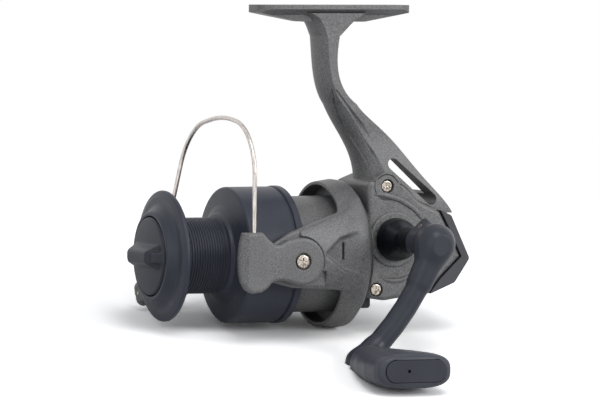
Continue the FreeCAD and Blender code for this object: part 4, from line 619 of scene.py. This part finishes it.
class REEL_OT_rotor(bpy.types.Operator):
    """Rotor: cup, flared ring and two arms that flow out of it, in one soft moulding"""

    bl_idname = "reel.rotor"
    bl_label = "Rotor"

    def execute(self, context):
        sizes = context.scene.reel_rotor
        recess, blend = sizes.recess / MM, sizes.blend / MM
        pivot_x, pivot_z = bail_pivot()
        front = span("rotor_washer")[0]
        cup = [(-6.2, 22.4), (-6.2, 23.6), (-4.4, 25.7), (-1.0, 26.2), (4.2, 25.4), (4.2, 24.6),
               (-1.2, 24.5), (-1.2, 20.3), (front - 0.2, 20.3), (front - 0.2, 3.6), (front - 2.3, 3.6),
               (front - 2.3, 18.7), (-3.5, 18.7), (-3.5, 24.6), (-4.6, 24.4)]
        arm = [(-3.4, 20.0), (-3.4, -13.4), (2.5, -11.2), (25.0, -9.8), (32.2, -7.9), (32.2, 4.9),
               (26.0, 8.4), (14.0, 12.4), (3.0, 16.0)]
        vee = [(12.2, 1.3), (5.6, -3.6), (-5.0, -6.0), (-5.0, 9.0), (7.0, 6.0)]

        def field(x, y, z):
            r, side = np.hypot(y, z), np.abs(y)
            bowl = outline(x, r, cup) - 0.2
            outer = (27.3 + 1.8 * np.clip((x + 3.5) / 9.0, 0, 1)
                     + 1.3 * np.clip((x - 5.5) / 28, 0, 1))
            shell = smooth_max(r - outer, 24.9 - r, 0.3)
            limb = smooth_max(outline(x, z, arm) - 0.6, shell, 2.2)
            dish = smooth_max(outline(x, z, vee) - 0.9, recess - side, 1.2)
            limb = smooth_max(limb, -dish, 1.3)
            slot = np.maximum(np.abs(x - 5.7) - 0.4, np.abs(z - 2.2) - 3.1)
            limb = np.maximum(limb, -np.maximum(slot, 20.0 - side))
            disc = np.hypot(x - pivot_x, z - pivot_z)
            notch = np.minimum(np.minimum(disc - 8.65, pivot_x - x),
                               np.maximum(pivot_x - 9.7 - x, z + 4.6))
            limb = smooth_max(limb, -np.maximum(notch, 27.6 - side), 0.4)
            body = smooth_min(bowl, limb, blend)
            body = np.maximum(body, 18.5 - r - 30 * (x > front - 2.6) - 30 * (x < -3.4))
            hole = np.maximum(disc - 1.2, 15 - side)
            return np.maximum(np.maximum(body, -hole), 3.4 - r)

        made = implicit("dressed_rotor", field, (-7.6, -30.6, -26.6), (32.8, 30.6, 26.6), 0.42)
        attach(made, "rotor_group")
        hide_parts("rotor")
        made.data.materials.append(sprayed())
        return {"FINISHED"}


class REEL_OT_bail_lever(bpy.types.Operator):
    """Fan-shaped bail lever that holds the wire on the handle side"""

    bl_idname = "reel.bail_lever"
    bl_label = "Bail lever"

    def execute(self, context):
        edge = context.scene.reel_rotor.lever_edge / MM
        pivot_x, pivot_z = bail_pivot()
        low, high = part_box("near_bail_arm")
        inner, outer = -high.y / MM, -low.y / MM
        fan = [(pivot_x, 5.2), (28.0, 6.1), (31.4, 4.6), (33.8, 4.8), (36.4, 6.8), (38.4, 9.0), (45.3, 9.0),
               (46.3, 5.5), (46.8, 0.5), (46.7, -4.0), (46.0, -7.6), (44.4, -10.3), (42.2, -11.6),
               (38.8, -11.2), (36.6, -9.9), (35.1, -8.2), (33.0, -7.3), (pivot_x, -7.2)]

        def field(x, y, z):
            disc = np.hypot(x - pivot_x, z - pivot_z)
            plan = smooth_min(outline(x, z, fan) - 0.3, disc - 8.3, 2.0)
            top = outer - 0.4 + 0.4 * np.clip((x - 30) / 7, 0, 1) - 0.5 * np.clip(x - 44.0, 0, 4)
            slab = smooth_max(plan, y - top, edge)
            slab = smooth_max(slab, inner - y, 0.5)
            return smooth_max(slab, -np.maximum(disc - 3.0, top - 1.3 - y), 0.3)

        made = implicit("dressed_bail_lever", field, (14.0, inner, -12.6), (48.0, outer, 10.0), 0.3)
        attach(made, "bail")
        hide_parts("near_bail_arm")
        made.data.materials.append(sprayed())
        return {"FINISHED"}


class REEL_OT_wire_cap(bpy.types.Operator):
    """Wire cap: the rounded end of the wire beside the line roller"""

    bl_idname = "reel.wire_cap"
    bl_label = "Wire cap"

    def execute(self, context):
        low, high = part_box("wire_cap")
        at = bench_of((low + high) / 2)
        half = (high - low) / 2 / MM
        top = (at[0] + 0.4, at[1], at[2] + 1.6)
        foot = (at[0] - 0.6, at[1] + 0.3, at[2] - 2.2)

        def field(x, y, z):
            drop = capsule(x, y, z, top, foot, 2.3, 2.7)
            return smooth_max(drop, np.abs(y - at[1]) - half.y - 0.2, 0.8)

        made = implicit("dressed_wire_cap", field, (at[0] - 3.6, at[1] - 3.4, at[2] - 5.2),
                        (at[0] + 3.6, at[1] + 3.4, at[2] + 4.4), 0.22)
        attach(made, "bail")
        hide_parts("wire_cap")
        made.data.materials.append(sprayed())
        return {"FINISHED"}


# ---------------------------------------------------------------- handle
class ReelHandle(bpy.types.PropertyGroup):
    """Handle sizes."""

    arm_radius: bpy.props.FloatProperty(
        name="Arm radius", description="Radius of the arm between its socket and its end sleeve",
        default=0.00395, min=0.002, max=0.0045, subtype="DISTANCE", unit="LENGTH")
    bow: bpy.props.FloatProperty(
        name="Bow", description="How far the arm bows forward from a straight line",
        default=0.0035, min=0.001, max=0.006, subtype="DISTANCE", unit="LENGTH")


class REEL_OT_handle_arm(bpy.types.Operator):
    """Handle arm: forked elbow, socket, bowed arm, end sleeve and the boss for the grip"""

    bl_idname = "reel.handle_arm"
    bl_label = "Handle arm"

    def execute(self, context):
        axle, grip = bench_of(middle("drive_axle"))[::2], bench_of(middle("knob"))[::2]
        sizes = context.scene.reel_handle
        thick, bow = sizes.arm_radius / MM, sizes.bow / MM
        face = -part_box("handle_arm")[0].y / MM
        plane = face - 6.2
        hinge_x, hinge_y, hinge_z = bench_of(middle("handle_hinge_pin"))
        run = np.array(grip) - axle
        length = np.hypot(*run)
        along = run / length
        axis = np.array((-along[1], along[0]))
        radius = (length ** 2 / 4 + bow ** 2) / (2 * bow)
        centre = np.array(axle) + run / 2 + axis * (radius - bow)
        ends = [np.arctan2(*(np.array(end) - centre)[::-1]) for end in (axle, grip)]
        angles = np.linspace(*np.unwrap(ends), 15)
        route = centre + radius * np.stack([np.cos(angles), np.sin(angles)], -1)

        def field(x, y, z):
            def bar(first, last, r0, r1):
                a, b = route[first], route[last]
                return capsule(x, y, z, (a[0], plane, a[1]), (b[0], plane, b[1]), r0, r1)

            ball = np.sqrt((x - axle[0]) ** 2 + (y - plane) ** 2 + (z - axle[1]) ** 2) - 6.7
            neck = smooth_max(np.hypot(x - axle[0], z - axle[1]) - 5.3, y - plane, 0.5)
            body = smooth_min(ball, neck, 3.0)
            socket = np.minimum(bar(0, 2, 5.5, 4.9), bar(2, 4, 4.9, 4.6))
            body = smooth_min(body, socket, 3.5)
            arm = bar(3, 5, thick, thick)
            for k in range(5, 13, 2):
                arm = np.minimum(arm, bar(k, k + 2, thick, thick + 0.25 * (k == 11)))
            body = smooth_min(body, arm, 0.8)
            body = smooth_min(body, bar(12, 14, 4.4, 4.4), 0.6)
            end = np.sqrt((x - grip[0]) ** 2 + (y - plane) ** 2 + (z - grip[1]) ** 2) - 4.95
            boss = np.maximum(np.hypot(x - grip[0], z - grip[1]) - 4.85, plane - y)
            body = smooth_min(body, smooth_min(end, boss, 1.0), 1.5)
            a = (x - hinge_x) * axis[0] + (z - hinge_z) * axis[1]
            s = (x - hinge_x) * along[0] + (z - hinge_z) * along[1]
            ear = smooth_max(np.hypot(s, y - hinge_y) - 3.9, np.abs(a) - 4.7, 0.8)
            body = smooth_min(body, ear, 1.6)
            pin = np.hypot(s, y - hinge_y)
            gap = np.maximum(np.abs(a) - 2.15, np.minimum(pin - 4.6, y - hinge_y - 3.0))
            body = np.maximum(body, -gap)
            body = np.maximum(body, -np.maximum(pin - 1.15, np.abs(a) - 6))
            return np.maximum(np.maximum(body, hinge_y - 4.35 - y), y - face)

        made = implicit("dressed_handle_arm", field, (-28.5, 36.0, -41.0), (15.5, face, 13.5), 0.36)
        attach(made, "handle")
        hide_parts("handle_arm")
        made.data.materials.append(charcoal(context.scene.reel_finishes.handle, 0.34))
        return {"FINISHED"}


class REEL_OT_grip(bpy.types.Operator):
    """Paddle grip: a round neck that widens to a flat rounded end"""

    bl_idname = "reel.grip"
    bl_label = "Grip"

    def execute(self, context):
        low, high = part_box("knob")
        begin, end = -high.y / MM, -low.y / MM
        centre = bench_of(middle("knob"))[::2]
        cap_low, cap_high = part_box("knob_cap")
        cap_half = (cap_high.x - cap_low.x) / 2 / MM + 0.12, (cap_high.z - cap_low.z) / 2 / MM + 0.12
        stops = np.array((0.0, 5.0, 14.0, 26.0, 36.0, end - begin)) + begin
        wide, thick = (6.6, 7.6, 10.4, 13.0, 13.9, 13.4), (6.4, 6.2, 6.2, 6.25, 6.25, 5.9)

        def field(x, y, z):
            a, b = np.interp(y, stops, wide), np.interp(y, stops, thick)
            u, v = np.abs(x - centre[0]) / a, np.abs(z - centre[1]) / b
            n = 2.0 + 0.9 * np.clip((y - begin - 6) / 20, 0, 1)
            side = ((u ** n + v ** n) ** (1 / n) - 1) * b
            body = smooth_max(smooth_max(side, y - end, 2.6), begin - y, 1.0)
            bw, bt = cap_half
            p, q = x - centre[0], z - centre[1]
            oval = np.hypot(np.maximum(np.abs(p) - (bw - bt), 0), q) - bt
            recess = np.maximum(oval, end - 2.0 - y)
            shaft = np.maximum(np.hypot(p, q) - 2.05, y - end + 6.0)
            return np.maximum(np.maximum(body, -recess), -shaft)

        made = implicit("dressed_grip", field, (centre[0] - 14.2, begin, centre[1] - 6.6),
                        (centre[0] + 14.2, end, centre[1] + 6.6), 0.34)
        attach(made, "grip")
        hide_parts("knob")
        made.data.materials.append(charcoal(context.scene.reel_finishes.grip, 0.38))
        return {"FINISHED"}


# ---------------------------------------------------------------- stage
class ReelStage(bpy.types.PropertyGroup):
    """Camera and light sizes."""

    azimuth: bpy.props.FloatProperty(
        name="Azimuth", description="Camera angle round the reel", default=radians(-24.0),
        subtype="ANGLE", unit="ROTATION")
    elevation: bpy.props.FloatProperty(
        name="Elevation", description="Camera angle above level", default=radians(2.5),
        subtype="ANGLE", unit="ROTATION")
    roll: bpy.props.FloatProperty(
        name="Roll", description="Camera turn about its own axis", default=radians(0.4),
        subtype="ANGLE", unit="ROTATION")
    distance: bpy.props.FloatProperty(
        name="Distance", description="Camera to reel", default=2.2, subtype="DISTANCE", unit="LENGTH")
    view_width: bpy.props.FloatProperty(
        name="View width", description="What the frame takes in across", default=0.212,
        subtype="DISTANCE", unit="LENGTH")
    floor_lean: bpy.props.FloatProperty(
        name="Floor lean", description="The reel leans on its rotor and its knob",
        default=radians(10.5), subtype="ANGLE", unit="ROTATION")
    floor_radius: bpy.props.FloatProperty(
        name="Floor radius", description="Where the floor has faded out", default=0.30,
        subtype="DISTANCE", unit="LENGTH")


def aim(obj, target):
    """Turn a lamp or camera so that its -Z looks at a point."""
    obj.rotation_mode = "QUATERNION"
    obj.rotation_quaternion = (Vector(target) - obj.location).to_track_quat("-Z", "Y")


def soft_box(name, place, target, width, height, watts):
    """Rectangular area lamp aimed at a point."""
    data = bpy.data.lights.new(name, "AREA")
    data.shape = "RECTANGLE"
    data.size, data.size_y = width, height
    data.energy = watts
    lamp = bpy.data.objects.new(name, data)
    bpy.context.scene.collection.objects.link(lamp)
    lamp.location = place
    aim(lamp, target)


class REEL_OT_stage(bpy.types.Operator):
    """Camera, soft lamps, white surroundings and the leaning floor"""

    bl_idname = "reel.stage"
    bl_label = "Set the stage"

    def execute(self, context):
        sizes = context.scene.reel_stage
        self.camera(sizes)
        self.world()
        target = (0, 0, SHAFT_Z)
        soft_box("key", (0.8, -1.1, 0.35), target, 0.6, 0.6, 7.0)
        soft_box("fill", (-0.9, -0.8, 0.25), target, 0.6, 0.8, 1.4)
        soft_box("top", (-0.1, -0.75, 1.0), target, 0.6, 0.6, 5.0)
        self.floor(sizes)
        view = context.scene.view_settings
        view.view_transform = "Standard"
        return {"FINISHED"}

    def camera(self, sizes):
        data = bpy.data.cameras.new("camera")
        camera = bpy.data.objects.new("camera", data)
        bpy.context.scene.collection.objects.link(camera)
        bpy.context.scene.camera = camera
        target = Vector((-0.0108, 0, SHAFT_Z + 0.01905))
        level = Vector((np.sin(sizes.azimuth), -np.cos(sizes.azimuth), 0))
        back = level * np.cos(sizes.elevation) + Vector((0, 0, np.sin(sizes.elevation)))
        camera.location = target + back * sizes.distance
        aim(camera, target)
        turn = Matrix.Rotation(sizes.roll, 4, "Z").to_quaternion()
        camera.rotation_quaternion = camera.rotation_quaternion @ turn
        data.sensor_width = 36.0
        data.lens = data.sensor_width * sizes.distance / sizes.view_width
        data.clip_start, data.clip_end = 0.1, 20.0

    def world(self):
        """White to the eye and in reflections, and an even soft light."""
        world = bpy.data.worlds.new("surroundings")
        bpy.context.scene.world = world
        world.use_nodes = True
        tree = world.node_tree
        path = tree.nodes.new("ShaderNodeLightPath")
        seen = tree.nodes.new("ShaderNodeMath")
        seen.operation = "MAXIMUM"
        tree.links.new(path.outputs["Is Camera Ray"], seen.inputs[0])
        either = tree.nodes.new("ShaderNodeMath")
        either.operation = "MAXIMUM"
        tree.links.new(path.outputs["Is Glossy Ray"], either.inputs[0])
        tree.links.new(path.outputs["Is Transmission Ray"], either.inputs[1])
        tree.links.new(either.outputs[0], seen.inputs[1])
        plain = tree.nodes["Background"]
        plain.inputs["Color"].default_value = (0.97, 0.98, 1.0, 1)
        plain.inputs["Strength"].default_value = 0.50
        white = tree.nodes.new("ShaderNodeBackground")
        white.inputs["Color"].default_value = (1, 1, 1, 1)
        mix = tree.nodes.new("ShaderNodeMixShader")
        tree.links.new(seen.outputs[0], mix.inputs["Fac"])
        tree.links.new(plain.outputs[0], mix.inputs[1])
        tree.links.new(white.outputs[0], mix.inputs[2])
        tree.links.new(mix.outputs[0], tree.nodes["World Output"].inputs["Surface"])

    def floor(self, sizes):
        """A disc that touches the rotor's ring from below and leans to the knob, white but
        for the shadow, faded out at its rim and open from below."""
        ring = SHAFT_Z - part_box("rotor")[0].z
        rings = np.linspace(0.0, 1.0, 33)[1:]
        turns = np.linspace(0, 2 * np.pi, 97)[:-1]
        radius = rings[:, None] * sizes.floor_radius
        flat_x = radius * np.cos(turns)
        flat_y = radius * np.sin(turns)
        lean = sizes.floor_lean
        centre = np.array((-0.01, ring * np.sin(lean), SHAFT_Z - ring * np.cos(lean)))
        disc = np.stack([flat_x, flat_y * np.cos(lean), flat_y * np.sin(lean)], -1)
        points = np.vstack([disc.reshape(-1, 3) + centre, centre])
        count = len(turns)
        faces = []
        for i in range(len(rings) - 1):
            a = i * count + np.arange(count)
            b = i * count + (np.arange(count) + 1) % count
            faces += np.stack([a, a + count, b + count, b], -1).tolist()
        a, b = np.arange(count), (np.arange(count) + 1) % count
        faces += np.stack([np.full(count, len(points) - 1), a, b], -1).tolist()
        mesh = bpy.data.meshes.new("floor")
        mesh.from_pydata(points, [], faces)
        fade = mesh.attributes.new("fade", "FLOAT", "POINT")
        reach = np.concatenate([np.repeat(rings, count), [0.0]])
        fade.data.foreach_set("value", reach.astype(np.float32))
        floor = bpy.data.objects.new("floor", mesh)
        bpy.context.scene.collection.objects.link(floor)
        mesh.materials.append(self.floor_finish())

    def floor_finish(self):
        made = Finish("floor white", 0.9)
        tree = made.tree
        path = made.node("ShaderNodeLightPath")
        tone = made.node("ShaderNodeMapRange", Value=path.outputs["Is Camera Ray"])
        tone.inputs["To Min"].default_value = 0.8
        tone.inputs["To Max"].default_value = 1.45
        grey = made.node("ShaderNodeCombineColor", Red=tone.outputs[0], Green=tone.outputs[0],
                         Blue=tone.outputs[0])
        diffuse = made.node("ShaderNodeBsdfDiffuse", Color=grey.outputs[0])
        clear = made.node("ShaderNodeBsdfTransparent")
        fade = made.node("ShaderNodeAttribute", {"attribute_name": "fade"})
        rim = made.node("ShaderNodeMapRange", {"interpolation_type": "SMOOTHSTEP"},
                        Value=fade.outputs["Fac"])
        rim.inputs["From Min"].default_value = 0.45
        under = made.node("ShaderNodeNewGeometry")
        gone = made.node("ShaderNodeMath", {"operation": "MAXIMUM"})
        tree.links.new(rim.outputs[0], gone.inputs[0])
        tree.links.new(under.outputs["Backfacing"], gone.inputs[1])
        mix = made.node("ShaderNodeMixShader", Fac=gone.outputs[0])
        tree.links.new(diffuse.outputs[0], mix.inputs[1])
        tree.links.new(clear.outputs[0], mix.inputs[2])
        tree.links.new(mix.outputs[0], tree.nodes["Material Output"].inputs["Surface"])
        tree.nodes.remove(made.shader)
        return made.material


class REEL_PT_panel(bpy.types.Panel):
    """The reel's pieces in the sidebar"""

    bl_idname = "REEL_PT_panel"
    bl_label = "Spinning reel"
    bl_space_type = "VIEW_3D"
    bl_region_type = "UI"
    bl_category = "Reel"

    def draw(self, context):
        for operator in OPERATORS:
            self.layout.operator(operator.bl_idname)


GROUPS = {"reel_finishes": ReelFinishes, "reel_spool": ReelSpool, "reel_rotor": ReelRotor,
          "reel_handle": ReelHandle, "reel_stage": ReelStage}
OPERATORS = (REEL_OT_finishes, REEL_OT_cover_lines, REEL_OT_spool, REEL_OT_drag_knob, REEL_OT_rotor,
             REEL_OT_bail_lever, REEL_OT_wire_cap, REEL_OT_handle_arm, REEL_OT_grip, REEL_OT_stage)


def register():
    for group in GROUPS.values():
        bpy.utils.register_class(group)
    for operator in OPERATORS:
        bpy.utils.register_class(operator)
    bpy.utils.register_class(REEL_PT_panel)
    for name, group in GROUPS.items():
        setattr(bpy.types.Scene, name, bpy.props.PointerProperty(type=group))


def unregister():
    for name in GROUPS:
        delattr(bpy.types.Scene, name)
    bpy.utils.unregister_class(REEL_PT_panel)
    for operator in reversed(OPERATORS):
        bpy.utils.unregister_class(operator)
    for group in GROUPS.values():
        bpy.utils.unregister_class(group)


def main():
    register()
    for operator in OPERATORS:
        section, name = operator.bl_idname.split(".")
        getattr(getattr(bpy.ops, section), name)()


if __name__ == "__main__":
    main()
